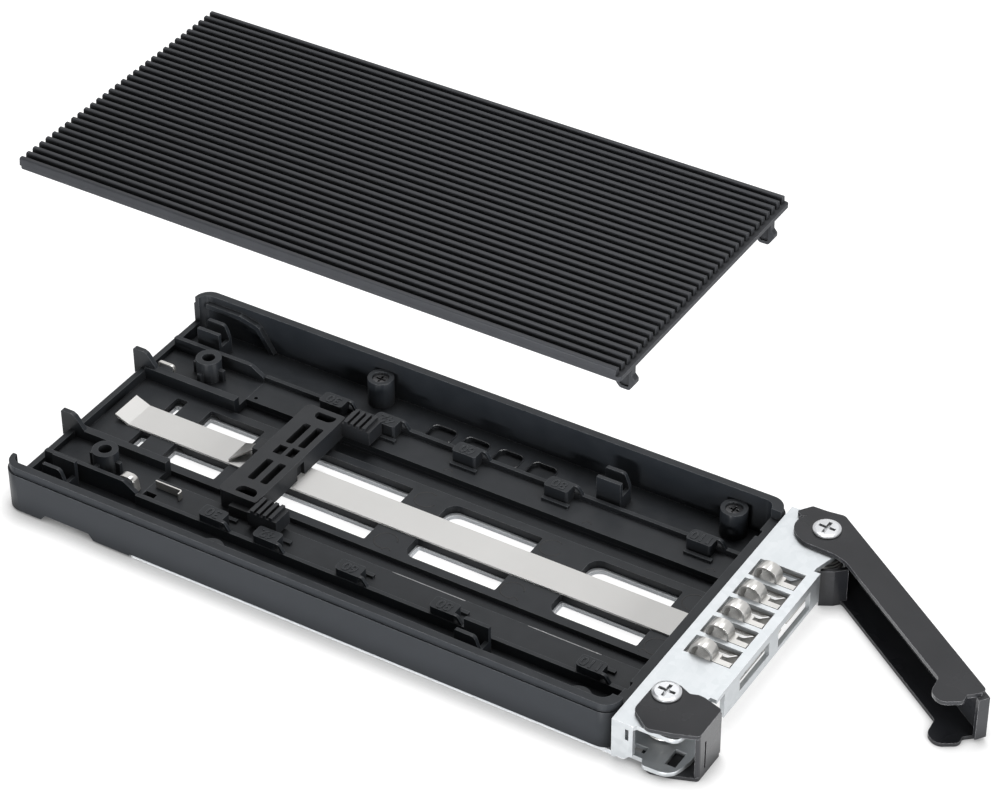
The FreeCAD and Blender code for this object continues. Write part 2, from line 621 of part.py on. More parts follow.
def tray_frame():
    floor = block("ChannelFloor", ("rear_wall - 0.5", "tray_length - front_wall + 0.5"),
                  ("-channel_half", "channel_half"), ("trough_floor - 0.5", "channel_floor"))
    tools = []
    for name, rear, front, radius in windows_of_floor():
        window = plan("Window" + name, [(rear, s.window_inner, 0.3), (front, s.window_inner, 0.3),
                                        (front, s.window_outer, 0.3),
                                        (rear, s.window_outer, radius)],
                      ("-1", "channel_floor + 0.2"))
        tools += [window, mirrored(f"Window{name}Near", window)]
    for along in POSTS:
        for sign in ("", "-"):
            tools.append(rod("FloorBore", along, f"{sign}{POST_SIDE}", ("-1", "trough_floor + 1"),
                             "screw_radius + fit"))
    trench = block("Trench", ("rail_start", "tray_length - front_wall"),
                   ("channel_half", "trench_outer"), ("trench_floor", "channel_floor + 1"))
    hook_slot = block("HookSlot", ("tray_length - front_wall - 0.1",
                                   "tray_length - cover_front - hook_margin + hook_foot + 0.3"),
                      ("hook_inner - 0.3", "hook_outer + 0.3"),
                      ("trough_floor", "front_wall_top + 1"))
    guide_slot = block("GuideSlot", ("-1", "rear_wall + 0.1"),
                       ("channel_half + inner_wall - fin_width", "channel_half + inner_wall"),
                       (guide_low(), "rear_wall_top + 1"))
    for tool in (trench, hook_slot, guide_slot):
        tools += [tool, mirrored(tool.Name + "Near", tool)]
    inner, outer, turn = s.slot_inner, s.slot_outer, s.slot_round
    for number in range(SLOTS):
        start = s.slot_first + s.slot_pitch * number
        end = start + s.slot_length
        tools.append(plan("TroughSlot", [(start, inner, turn), (end, inner, turn),
                                         (end, outer, turn), (start, outer, turn)],
                          ("base_sheet + 0.3", "trough_floor + 1")))
    for y in (-s.rivet_side, 0, s.rivet_side):
        tools.append(lying_rod("RivetHole", ("tray_length - front_wall - 1", "tray_length + 1"),
                               y, "rivet_height", "rivet_radius + fit", "x"))
    solids = fuse("TraySolids", tray_shell(), floor, rim_bead())
    return finish(cut("TrayFrame", solids, *tools), "tray_frame")


def base_plate():
    """Thin plate under the tray, with a narrower tongue at the rear and a tab at the front."""
    front = s.tray_length + s.base_reach
    half = s.tray_width / 2 - s.base_margin
    tongue = s.tray_width / 2 - s.tongue_margin
    tab_end = half - 5.3
    plate = plan("BaseOutline", [(s.tongue_start, -tongue, 1.5), (s.base_start, -tongue),
                                 (s.base_start, -half, 0.5), (front + 1.6, -half, 0.8),
                                 (front + 1.6, -tab_end, 0.8), (front, -tab_end + 0.8),
                                 (front, half, 0.8), (s.base_start, half, 0.5),
                                 (s.base_start, tongue), (s.tongue_start, tongue, 1.5)],
                 ("0", "base_sheet"))
    tools = []
    for name, rear, front_end, radius in windows_of_floor():
        back = rear + (s.window_gap if radius > 1 else 0)
        window = plan("BaseWindow" + name, [(back, s.window_inner + 0.2, 0.3),
                                            (front_end, s.window_inner + 0.2, 0.3),
                                            (front_end, s.window_outer - s.window_gap, 0.3),
                                            (back, s.window_outer - s.window_gap, radius)],
                      ("-1", "base_sheet + 1"))
        tools += [window, mirrored(f"BaseWindow{name}Near", window)]
    for sign in ("", "-"):
        for along in POSTS:
            tools.append(rod("BaseHole", along, f"{sign}{POST_SIDE}", ("-1", "base_sheet + 1"),
                             "screw_radius + fit"))
    return finish(cut("BasePlate", plate, *tools), "base_plate")


def base_screws():
    screws = []
    for sign, top in (("", "post_top"), ("-", "post_low")):
        for along in POSTS:
            y = f"{sign}{POST_SIDE}"
            under = f"{top} - screw_sink - screw_head_height"
            over = f"{top} - screw_sink"
            shank = rod("ScrewShank", along, y, ("0.2", f"{under} + 0.1"), "screw_radius")
            head = rod("ScrewHead", along, y, (under, over), "screw_head")
            recess = cross_recess("ScrewRecess", along, y, (f"{over} - 0.5", f"{over} + 1"),
                                  "screw_head")
            screws.append(cut("Screw", fuse("ScrewBody", shank, head), recess))
    return finish(group("BaseScrews", *screws), "base_screws")


def retaining_clips():
    """Three small spring clips in the rear part: a leaf, an arch and a curl."""
    side = -s.leaf_side
    end = s.leaf_start + s.leaf_length
    leaf = plan("LeafClip", bent([(s.leaf_start, side), (end, side), (end, side - 1.2)],
                                 s.clip_sheet, 0.4), ("shelf_top", "leaf_top"))
    front = s.arch_start + s.arch_length
    over = s.arch_top - s.clip_sheet / 2
    foot = s.shelf_top + 0.1
    arch = side_view("ArchClip", bent([(s.arch_start, foot), (s.arch_start + 0.5, over),
                                       (front - 0.5, over), (front, foot)],
                                      s.clip_sheet, 1.1),
                     ("-arch_side - arch_width", "-arch_side"))
    top = s.curl_top - s.clip_sheet / 2
    back = s.curl_start + s.curl_length
    curl = side_view("CurlClip", bent([(s.curl_start, foot), (s.curl_start + 0.9, top),
                                       (back, top), (back, top - 1.4)], s.clip_sheet, 0.6),
                     ("curl_side", "curl_side + 0.7"))
    return finish(group("RetainingClips", leaf, arch, curl), "retaining_clips")


def thermal_strip():
    """Flat strip down the middle of the channel, folded up at its rear end."""
    low = s.channel_floor
    fold = s.strip_start + s.strip_fold
    thick = s.strip_thickness
    end = s.tray_length - s.strip_front
    points = [(s.strip_start, low + s.strip_rise), (fold, low), (end, low),
              (end, low + thick), (fold + 0.3, low + thick),
              (s.strip_start, low + s.strip_rise + thick)]
    strip = side_view("StripBand", points, ("-strip_half", "strip_half"))
    return finish(strip, "thermal_strip")


def stop_rear():
    return s.mark_zero + s.card_short - s.stop_back - s.stop_length


def ssd_stop():
    """Bridge across the channel, with windows, hollow wings, and ribbed grips on two arms."""
    rear = stop_rear()
    front = rear + s.stop_length
    half = s.wing_half
    low = "shelf_top + stop_lift"
    bridge = plan("StopBridge", [(rear, -half, 1.2), (front, -half, 0.5), (front, half, 0.5),
                                 (rear, half, 1.2)], (low, "stop_top"))
    arm = block("StopArm", (rear + 3.2, front + 0.8), ("arm_inner", "arm_outer"), (low, "arm_top"))
    grip = block("StopGrip", (front, f"{front} + grip_length"), ("grip_inner", "grip_outer"),
                 ("grip_bottom", "grip_base"))
    grips = [arm, grip]
    for number in range(4):
        place = f"{front} + 0.7 + {number} * grip_pitch"
        grips.append(block("GripRidge", (place, f"{place} + 0.7"), ("grip_inner", "grip_outer"),
                           ("grip_base - 0.1", "grip_base + ridge_height")))
    side = fuse("StopSide", *grips)
    cuts = [block("WingHollow", (rear + 1.0, front - 1.0), ("wing_inner", "wing_half - wing_wall"),
                  ("0", "stop_top - stop_roof"))]
    for start, end in ((2.8, 4.4), (5.6, 7.2)):
        cuts.append(plan("StopWindow", [(rear + start, 2.9, 0.4), (rear + end, 2.9, 0.4),
                                        (rear + end, 9.6, 0.4), (rear + start, 9.6, 0.4)],
                         ("-1", "stop_top + 1")))
    cuts.append(plan("WingSlot", [(rear + 3.0, 11.8, 1.3), (rear + 7.3, 11.8, 1.3),
                                  (rear + 7.3, 13.8, 0.3), (rear + 3.0, 13.8, 0.3)],
                     ("-1", "stop_top + 1")))
    cuts.append(rod("PlungerWell", rear + 5.0, "(arm_inner + arm_outer) / 2",
                    ("0", f"{low} + plunger_length"), "plunger_radius"))
    tools = fuse("StopCuts", *cuts)
    squares = [block("StopSquare", (rear + start, rear + end), (near, far),
                     ("stop_top - 1.4", "stop_top + 1"))
               for start, end, near, far in ((2.5, 4.4, -0.9, 1.8), (5.2, 6.9, -0.6, 2.1))]
    recess = block("StopRecess", (front - 0.8, front + 1), (-1.6, 0.8), ("0", "stop_top - 1"))
    housing = block("CatchHousing", (f"{rear} - housing_length", rear + 0.2),
                    ("catch_middle - housing_half", "catch_middle + housing_half"),
                    (low, "housing_top"))
    socket = block("CatchSocket", (f"{rear} - housing_length - 1", rear - 0.4),
                   ("catch_middle - catch_root - 0.2", "catch_middle + catch_root + 0.2"),
                   ("catch_level - catch_sheet / 2", "housing_top - 0.6"))
    body = fuse("StopBody", bridge, side, mirrored("StopSideNear", side), housing)
    return finish(cut("SsdStop", body, tools, mirrored("StopCutsNear", tools), *squares, recess,
                      socket), "ssd_stop")


def stop_catch():
    """Spring leaf that rises from the channel into the housing and holds the card's end."""
    rear = stop_rear()
    tip = rear - s.catch_reach
    knee = rear - s.housing_length - 0.5
    band = side_view("CatchBand", bent([(tip, s.catch_tip), (knee, s.catch_level),
                                        (rear - 0.4, s.catch_level)], s.catch_sheet, 0.8),
                     ("-catch_near - 1", "catch_far + 1"))
    near, far = s.catch_middle - s.catch_root, s.catch_middle + s.catch_root
    shape = plan("CatchOutline", [(tip - 0.3, -s.catch_near, 0.4), (knee, near), (rear, near),
                                  (rear, far), (knee, far), (tip - 0.3, s.catch_far, 0.4)],
                 ("0", "stop_top"))
    leaf = doc.addObject("Part::Common", "StopCatch")
    leaf.Base = band
    leaf.Tool = shape
    return finish(leaf, "stop_catch")


def detent_springs():
    """Small sprung plungers in the stop's arms, which click into place at each mark."""
    low = "shelf_top + stop_lift"
    plungers = [rod("Plunger", stop_rear() + 5.0, f"{sign}(arm_inner + arm_outer) / 2",
                    (low, f"{low} + plunger_length"), "plunger_radius") for sign in ("", "-")]
    return finish(group("DetentSprings", *plungers), "detent_springs")


def origin_plane(body, role):
    return next(f for f in body.Origin.OriginFeatures if f.Role == role)


def cover_body():
    """The extruded cover: a plate with one tapered fin, repeated across the width."""
    body = doc.addObject("PartDesign::Body", "CoverBody")
    outline_sketch = body.newObject("Sketcher::SketchObject", "CoverOutline")
    outline_sketch.AttachmentSupport = (origin_plane(body, "XY_Plane"), "")
    outline_sketch.MapMode = "FlatFace"
    half = s.cover_half
    long = s.tray_length - s.cover_front - s.cover_start
    outline_sketch.addGeometry(outline([(0, -half, 0.6), (long, -half, 0.6), (long, half, 0.6),
                                        (0, half, 0.6)]))
    plate = body.newObject("PartDesign::Pad", "CoverPlate")
    plate.Profile = outline_sketch
    tie(plate, "Length", "cover_plate")
    fin_sketch = body.newObject("Sketcher::SketchObject", "FinSection")
    fin_sketch.AttachmentSupport = (origin_plane(body, "YZ_Plane"), "")
    fin_sketch.MapMode = "FlatFace"
    middle = s.fin_root / 2 - half
    root, tip = s.fin_root / 2, s.fin_tip / 2
    low = s.cover_plate - 0.2
    top = s.cover_plate + s.fin_height
    fin_sketch.addGeometry(outline([(middle - root, low), (middle + root, low),
                                    (middle + tip, top, s.fin_round),
                                    (middle - tip, top, s.fin_round)]))
    fin = body.newObject("PartDesign::Pad", "Fin")
    fin.Profile = fin_sketch
    tie(fin, "Length", f"{COVER_LENGTH} - fin_short")
    doc.recompute()
    fins = body.newObject("PartDesign::LinearPattern", "Fins")
    fins.Originals = [fin]
    fins.Direction = (origin_plane(body, "Y_Axis"), [""])
    fins.Occurrences = 1 + round((2 * half - s.fin_root) / s.fin_pitch)
    tie(fins, "Length", "2 * cover_half - fin_root")
    body.Tip = fins
    tie(body, "Placement.Base.x", "cover_start")
    tie(body, "Placement.Base.z", "cover_seat + cover_lift")
    return body


def heat_sink_cover():
    """Cover with four hooks that snap into the tray's front wall and behind its rear tabs."""
    under = s.cover_seat + s.cover_lift
    low = under - s.hook_drop
    end = s.tray_length - s.cover_front - s.hook_margin
    back = end - s.hook_length
    outline_points = [(back, under + 0.2), (back, low + 0.9, 0.8), (back + 0.8, low, 0.6),
                      (end - 0.4, low, 0.6), (end + s.hook_foot, low + 1.5, 0.5),
                      (end + s.hook_foot, low + 2.2, 0.4), (end, low + 2.9, 0.3),
                      (end, under + 0.2)]
    pocket_points = [(back + 0.5, under - 0.5, 0.3), (back + 0.5, low + 1.2, 0.3),
                     (back + 1.0, low + 0.6, 0.3), (end - 0.5, low + 0.6, 0.3),
                     (end - 0.5, under - 0.5, 0.3)]
    front = side_view("FrontHook", outline_points, ("hook_inner", "hook_outer"))
    pockets = [side_view("HookPocket", pocket_points, ends)
               for ends in (("hook_inner - 1", "hook_inner + hook_pocket"),
                            ("hook_outer - hook_pocket", "hook_outer + 1"))]
    start = s.cover_start + s.rear_hook_margin
    rear_low = under - s.rear_hook_drop
    rear_end = start + s.rear_hook_sheet
    rear = side_view("RearHook", [(start, under + 0.2), (start, rear_low + 0.6, 0.3),
                                  (rear_end, rear_low, 0.2), (rear_end, under + 0.2)],
                     ("rear_hook_inner", "rear_hook_outer"))
    hooks = fuse("Hooks", cut("PocketedHook", front, *pockets), rear)
    return finish(fuse("HeatSinkCover", cover_body(), hooks, mirrored("HooksNear", hooks)),
                  "heat_sink_cover")


def cover_pad():
    pad = block("PadBlock", ("cover_start + pad_margin", "tray_length - cover_front - pad_margin"),
                ("-pad_half", "pad_half"),
                ("cover_seat + cover_lift - pad_thickness", "cover_seat + cover_lift"))
    return finish(group("CoverPad", pad), "cover_pad")


def finger_places():
    """Formulas for the near edge of each finger window, from the near side to the far side."""
    return [f"({number} * finger_pitch - finger_first - finger_window / 2)"
            for number in range(FINGERS)]


def front_bracket():
    """Folded bracket: rear web, top flange, slotted front face and two lower tongues."""
    back = s.tray_length
    face = back + s.bracket_depth
    near, far = -s.bracket_near, s.bracket_far
    bend = s.pivot_post + 1.5
    flange = plan("BracketFlange",
                  [(back, near, 0.4), (back + 4.1, near, 0.4), (back + 4.6, near + 0.6),
                   (face - 1.0, near + 0.6, 1.8), (face - 0.1, near + 3.4, 1.0),
                   (face - 0.1, -s.tongue_inner), (face - 1.3, -s.tongue_inner),
                   (face - 1.3, -20.3), (face, -20.3), (face, s.face_far),
                   (face - 1.3, s.face_far), (face - 1.3, s.face_far + 0.9),
                   (face - 0.05, s.face_far + 5.4), (face - 0.05, far, bend), (back, far, 0.6)],
                  ("bracket_top - sheet", "bracket_top"))
    web = block("BracketWeb", ("tray_length", "tray_length + sheet"),
                ("-bracket_near", "bracket_far"), ("base_sheet", "bracket_top"))
    face_plate = block("BracketFace", ("tray_length + bracket_depth - sheet",
                                       "tray_length + bracket_depth"),
                       ("-face_near", "face_far"), ("face_bottom", "bracket_top"))
    side = side_view("BracketSide", [(back, s.base_sheet + 0.4), (back + 2.2, s.base_sheet + 0.4),
                                     (back + 4.1, 2.6), (back + 4.1, s.bracket_top - 0.2),
                                     (back, s.bracket_top - 0.2)],
                     ("-bracket_near", "-bracket_near + sheet"))
    tongue = plan("NearTongue", [(back, -s.tongue_inner), (back, near + 1.2),
                                 (back + 5.4, near + 1.2), (back + 6.0, near - 0.2, 0.8),
                                 (face - 1.4, near, 3.0), (face - 0.3, -28.6, 1.5),
                                 (face - 0.3, -s.tongue_inner, 0.5)],
                  ("base_sheet", "base_sheet + sheet"))
    far_tongue = plan("FarTongue", [(back, s.tongue_inner), (face - 0.3, s.tongue_inner, 0.5),
                                    (face - 0.3, far - 0.1, bend - 0.2), (back, far - 0.1)],
                      ("base_sheet", "base_sheet + sheet"))
    solids = [flange, web, face_plate, side, tongue, far_tongue]
    tools = []
    for place in finger_places():
        tools.append(block("FingerWindow", ("tray_length + window_rear",
                                            "tray_length + window_front"),
                           (place, f"{place} + finger_window"),
                           ("bracket_top - sheet - 1", "bracket_top + 1")))
    for along, y in (("lever_ahead", "lever_side"), ("latch_ahead", "-latch_side")):
        tools.append(rod("BracketPivotHole", f"tray_length + {along}", y, ("-1", "bracket_top + 1"),
                         "pivot_screw + fit"))
    for name, low, high, bottom in (("FaceWindowNear", -11.8, -0.9, 4.8),
                                    ("FaceWindowFar", 2.5, 14.6, 3.9)):
        tools.append(block(name, ("tray_length + bracket_depth - sheet - 0.1",
                                  "tray_length + bracket_depth + 1"),
                           (low, high), (bottom, "bracket_top - 1.6")))
    tools.append(block("SideSlot", ("tray_length + 2.6", "tray_length + 3.3"),
                       ("-bracket_near - 1", "-bracket_near + sheet + 0.2"),
                       ("bracket_top - 3.6", "bracket_top - 1.2")))
    tools.append(block("TongueHole", ("tray_length + 9.2", "tray_length + 11.3"),
                       ("-31.3", "-27.2"), ("-1", "base_sheet + sheet + 1")))
    tools.append(block("TongueSlot", ("tray_length + 2.6", "tray_length + 5.1"),
                       ("-31.0", "-29.4"), ("-1", "base_sheet + sheet + 1")))
    for y in (-s.rivet_side, 0, s.rivet_side):
        tools.append(lying_rod("WebRivetHole", ("tray_length - 1", "tray_length + sheet + 0.2"),
                               y, "rivet_height", "rivet_radius + fit", "x"))
    return finish(cut("FrontBracket", fuse("BracketSheets", *solids), *tools), "front_bracket")


def bracket_rivets():
    rivets = []
    for y in (-s.rivet_side, 0, s.rivet_side):
        shank = lying_rod("RivetShank", ("tray_length - front_wall + 0.3",
                                         "tray_length + sheet + 0.1"),
                          y, "rivet_height", "rivet_radius", "x")
        head = lying_rod("RivetHead", ("tray_length + sheet", "tray_length + sheet + 0.6"),
                         y, "rivet_height", "rivet_head", "x")
        rivets.append(fuse("Rivet", shank, head))
    return finish(group("BracketRivets", *rivets), "bracket_rivets")


def finger_strip():
    """Spring strip under the flange, with a bowl, a hoop and a lip in each of its windows."""
    under = s.bracket_top - s.sheet
    thick = s.finger_sheet
    level = under - thick / 2
    back = s.tray_length
    inside = "tray_length + bracket_depth - sheet"
    ends = ("-face_near + 1.0", "face_far - 1.0")
    plate = block("FingerPlate", ("tray_length + sheet", inside), ends,
                  ("bracket_top - sheet - finger_sheet", "bracket_top - sheet"))
    liner = block("Liner", (f"{inside} - liner_sheet", inside), ends,
                  ("liner_bottom", "bracket_top - sheet"))
    solids = [liner]
    openings = []
    rear, front = back + s.finger_rear, back + s.finger_front
    top = s.finger_top - thick / 2
    flush = s.bracket_top - thick / 2
    hoop = bent([(back + s.window_rear - 0.4, level), (rear, level), (rear, top, s.hoop_bend),
                 (front, top, s.hoop_bend), (front, flush), (front + 1.0, flush)], thick, 0.3)
    bottom = s.bowl_bottom + thick / 2
    middle = back + (s.window_rear + s.window_front) / 2
    bowl = bent([(back + s.window_rear - 0.4, level), (back + s.window_rear + 0.3, level),
                 (middle - 1.6, bottom), (middle + 1.6, bottom),
                 (back + s.window_front - 0.3, level), (back + s.window_front + 0.3, level)],
                thick, 1.2)
    for place in finger_places():
        start = f"{place} + finger_edge"
        openings.append(block("StripOpening", ("tray_length + window_rear",
                                               "tray_length + window_front"),
                              (place, f"{place} + finger_window"), (under - 2, under + 1)))
        solids.append(side_view("FingerHoop", hoop, (start, f"{start} + finger_width")))
        solids.append(side_view("FingerBowl", bowl, (place, f"{place} + finger_window")))
        solids.append(block("FingerLip", ("tray_length + finger_front + 0.5",
                                          "tray_length + window_front - 0.2"),
                            (start, f"{start} + finger_lip"),
                            ("bracket_top - finger_sheet", "bracket_top")))
    strip = fuse("StripSheets", cut("StripPlate", plate, *openings), *solids)
    holes = [lying_rod("LinerHole", ("tray_length + bracket_depth - sheet - 2", inside), y,
                       "liner_bottom + 0.9", "0.55", "x") for y in (-8.0, -2.0)]
    for low, high, bottom_edge, top_edge in LINER_NOTCHES:
        holes.append(block("LinerNotch", (f"{inside} - liner_sheet - 0.5", f"{inside} + 0.5"),
                           (low, high), (bottom_edge, top_edge)))
    return finish(cut("FingerStrip", strip, *holes), "finger_strip")


def channel_piece(name, top_points, bottom_points, walls):
    """A folded channel: a flange on top, one underneath and the upright walls between them."""
    top = plan(name + "Top", top_points, ("rim_top - lever_sheet", "rim_top"))
    bottom = plan(name + "Bottom", bottom_points, ("0", "lever_sheet"))
    return fuse(name + "Sheets", top, bottom, *walls)


def lever():
    """Swinging lever. It is drawn along X about its pivot and then turned to stand open."""
    web, tip, thick = s.lever_web, s.lever_length, s.lever_sheet
    inner = web - s.lever_flange
    lobe = tip - s.lobe_back
    reach = s.lobe_radius
    points = [(-7.1, -2.4, 0.5), (-7.1, 0.9, 0.5), (-4.7, 2.7, 0.8), (-2.3, web, 1.4),
              (tip + 0.2, web, 0.9), (tip - 0.9, web - 1.1), (tip - 1.5, web - 3.8, 0.3),
              (tip - 0.3, web - 5.0, 1.4), (tip - 1.9, inner - 2.9, 2.2),
              (lobe - 0.9, inner - 2.9, 2.0), (lobe - 3.3, inner, 0.9), (9.2, inner, 2.0),
              (6.4, inner - 0.9, 1.5), (0.8, -5.6, 4.6), (-5.6, -5.4, 4.0), (-5.3, -2.2, 0.6)]
    angle = [math.radians(a) for a in (-0.7, -17.7, -34.7)]
    outer = s.heel_radius
    heel_points = [(0, 0)] + [(outer * math.cos(a), outer * math.sin(a)) for a in angle]
    heel = [(outer * math.cos(a), outer * math.sin(a)) for a in angle]
    heel += [((outer - thick) * math.cos(a), (outer - thick) * math.sin(a)) for a in angle[::-1]]
    walls = [plan("LeverWeb", [(-2.3, web - thick), (tip, web - thick), (tip, web), (-2.3, web)],
                  ("lever_sheet - 0.1", "rim_top - lever_sheet + 0.1")),
             plan("LeverReturn", [(tip - thick, web - 2.2), (tip, web - 2.2), (tip, web),
                                  (tip - thick, web)],
                  ("lever_sheet - 0.1", "rim_top - lever_sheet + 0.1")),
             plan("LeverHeel", heel, ("lever_sheet - 0.1", "heel_top")),
             plan("HeelFloor", heel_points[::-1], ("0", "lever_sheet"))]
    channel = channel_piece("Lever", points[::-1], points[::-1], walls)
    bore = rod("LeverBore", "0", "0", ("-1", "rim_top + 1"), "pivot_screw + pivot_fit")
    drawn = cut("LeverDrawn", channel, bore)
    drawn.Placement.Rotation = Rotation(Vector(0, 0, 1), -s.lever_open)
    tie(drawn, "Placement.Base.x", "tray_length + lever_ahead")
    tie(drawn, "Placement.Base.y", "lever_side")
    return finish(group("Lever", drawn), "lever")


def latch():
    """Latch that stands in front of the lever's tip when the lever is shut."""
    back = s.tray_length
    x, y = back + s.latch_ahead, -s.latch_side
    face = back + s.latch_face
    near, far = -s.latch_near, -s.latch_far
    thick = s.lever_sheet
    edge = [(face, near, 0.7), (face, far, 0.8), (x + 5.9, y + 2.4, 0.5), (x + 4.9, y + 2.4, 0.5),
            (x + 3.4, y + 1.9, 0.8), (x + 1.2, y + 2.9, 0.8)]
    top = edge + [(x - 2.8, y + 2.9, 2.4), (x - 2.9, y - 6.3, 2.0), (x + 1.3, y - 9.4, 1.5),
                  (x + 5.5, y - 8.3, 3.0)]
    bottom = edge + [(x - 1.4, y + 2.9, 2.0), (x - 1.4, y - 6.3, 1.5), (x + 1.6, y - 9.2, 1.5),
                     (x + 5.5, y - 8.3, 3.0)]
    between = ("lever_sheet - 0.1", "rim_top - lever_sheet + 0.1")
    walls = [plan("LatchFace", [(face - thick, near), (face, near, 0.6), (face, far),
                                (face - thick, far)], between)]
    sheets = channel_piece("Latch", top, bottom, walls)
    bore = rod("LatchBore", x, y, ("-1", "rim_top + 1"), "pivot_screw + pivot_fit")
    slit = block("LatchSlit", (face - thick - 1, face + 1),
                 ("-latch_near + slit_start", "-latch_near + slit_start + slit_width"),
                 ("slit_bottom", "slit_top"))
    return finish(cut("Latch", sheets, bore, slit), "latch")


def pivot_screw(label, along, side):
    """Pan-head screw that holds a channel down on its post."""
    x, y = f"tray_length + {along}", side
    under = "rim_top + pivot_play"
    over = f"{under} + pivot_head_height"
    head = rod(label + "Head", x, y, (under, over), "pivot_head")
    dome = doc.addObject("Part::Cone", label + "Dome")
    for prop, formula in (("Placement.Base.x", x), ("Placement.Base.y", y),
                          ("Placement.Base.z", f"{over} - 0.35"), ("Height", "0.36"),
                          ("Radius1", "pivot_head + 0.4"), ("Radius2", "pivot_head - 0.5")):
        tie(dome, prop, formula)
    rounded = doc.addObject("Part::Common", label + "Rounded")
    rounded.Base = head
    rounded.Tool = fuse(label + "Keep", dome, rod(label + "Low", x, y, (under, f"{over} - 0.35"),
                                                  "pivot_head + 0.4"))
    shank = rod(label + "Shank", x, y, ("bracket_top - sheet - 3", f"{under} + 0.1"), "pivot_screw")
    recess = cross_recess(label + "Recess", x, y, (f"{over} - 0.55", f"{over} + 1"), "pivot_head")
    return finish(cut(label + "Cut", fuse(label + "Body", rounded, shank), recess), label)


def pivot_post(label, along, side):
    """Post between the bracket's tongue and flange, with a spigot for the lower flange."""
    x, y = f"tray_length + {along}", side
    under = "bracket_top - sheet"
    post = rod(label + "Round", x, y, ("base_sheet + sheet", under), "pivot_post")
    spigot = rod(label + "Spigot", x, y, ("pivot_play", "base_sheet + sheet + 0.1"), "pivot_screw")
    bore = rod(label + "Bore", x, y, (f"{under} - 3.2", f"{under} + 1"), "pivot_screw + fit")
    return finish(cut(label + "Cut", fuse(label + "Body", post, spigot), bore), label)


def torsion_spring(label, along, side, direction):
    """Coil round a post, with two short legs."""
    x, y = s.tray_length + getattr(s, along), side
    low = s.base_sheet + s.sheet + s.spring_wire
    height = s.spring_pitch * s.spring_turns
    helix = Part.makeHelix(s.spring_pitch, height, s.spring_radius)
    profile = Part.Wire(Part.makeCircle(s.spring_wire / 2, Vector(s.spring_radius, 0, 0),
                                        Vector(0, 1, 0)))
    coil = Part.Wire(helix.Edges).makePipeShell([profile], True, True)
    legs = []
    for z in (0, height):
        leg = Part.makeCylinder(s.spring_wire / 2, 3.0, Vector(s.spring_radius, 0, z),
                                Vector(0, 1 if z else -1, 0))
        legs.append(leg)
    whole = coil.fuse(legs)
    whole.translate(Vector(x, y, low))
    whole.rotate(Vector(x, y, low), Vector(0, 0, 1), direction)
    spring = doc.addObject("Part::Feature", label + "Coil")
    spring.Shape = whole
    return finish(group(label + "Set", spring), label)


tray_frame()
rear_rails()
rails()
catch_tabs()
screw_posts()
base_plate()
base_screws()
retaining_clips()
thermal_strip()
ssd_stop()
stop_catch()
detent_springs()
heat_sink_cover()
cover_pad()
front_bracket()
bracket_rivets()
finger_strip()
lever()
latch()
pivot_screw("lever_screw", "lever_ahead", "lever_side")
pivot_screw("latch_screw", "latch_ahead", "-latch_side")
pivot_post("lever_post", "lever_ahead", "lever_side")
pivot_post("latch_post", "latch_ahead", "-latch_side")
torsion_spring("lever_spring", "lever_ahead", s.lever_side, s.lever_spring_turn)
torsion_spring("latch_spring", "latch_ahead", -s.latch_side, s.latch_spring_turn)
doc.recompute()

for thing in doc.Objects:
    if "Invalid" in thing.State or "Error" in thing.State:
        raise RuntimeError(f"{thing.Name} ({thing.Label}) failed: {thing.State}")
for thing in finished:
    shape = thing.Shape
    if shape.isNull() or not shape.isValid() or not shape.Solids:
        raise RuntimeError(f"{thing.Label} has no valid shape")

os.makedirs("parts", exist_ok=True)
for thing in finished:
    thing.Shape.exportStep(os.path.join("parts", thing.Label + ".step"))
    box = thing.Shape.BoundBox
    print(f"{thing.Label}: {len(thing.Shape.Solids)} solids, {thing.Shape.Volume:.1f} mm3, "
          f"x {box.XMin:.2f} {box.XMax:.2f}, y {box.YMin:.2f} {box.YMax:.2f}, "
          f"z {box.ZMin:.2f} {box.ZMax:.2f}")
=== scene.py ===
# %% [markdown]
# # A hot swap drive caddy in a white studio
# The caddy is a shallow black tray for one card-shaped drive. Its finned cover hangs above it,
# lifted straight off, and a sheet-metal front end carries a swinging lever and a latch.
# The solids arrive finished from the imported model. This lesson gives them softened edges,
# believable finishes, moulded marks, light and a camera, and changes none of their shapes.

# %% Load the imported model
import json
import math

import bmesh
import bpy
from mathutils import Matrix, Vector


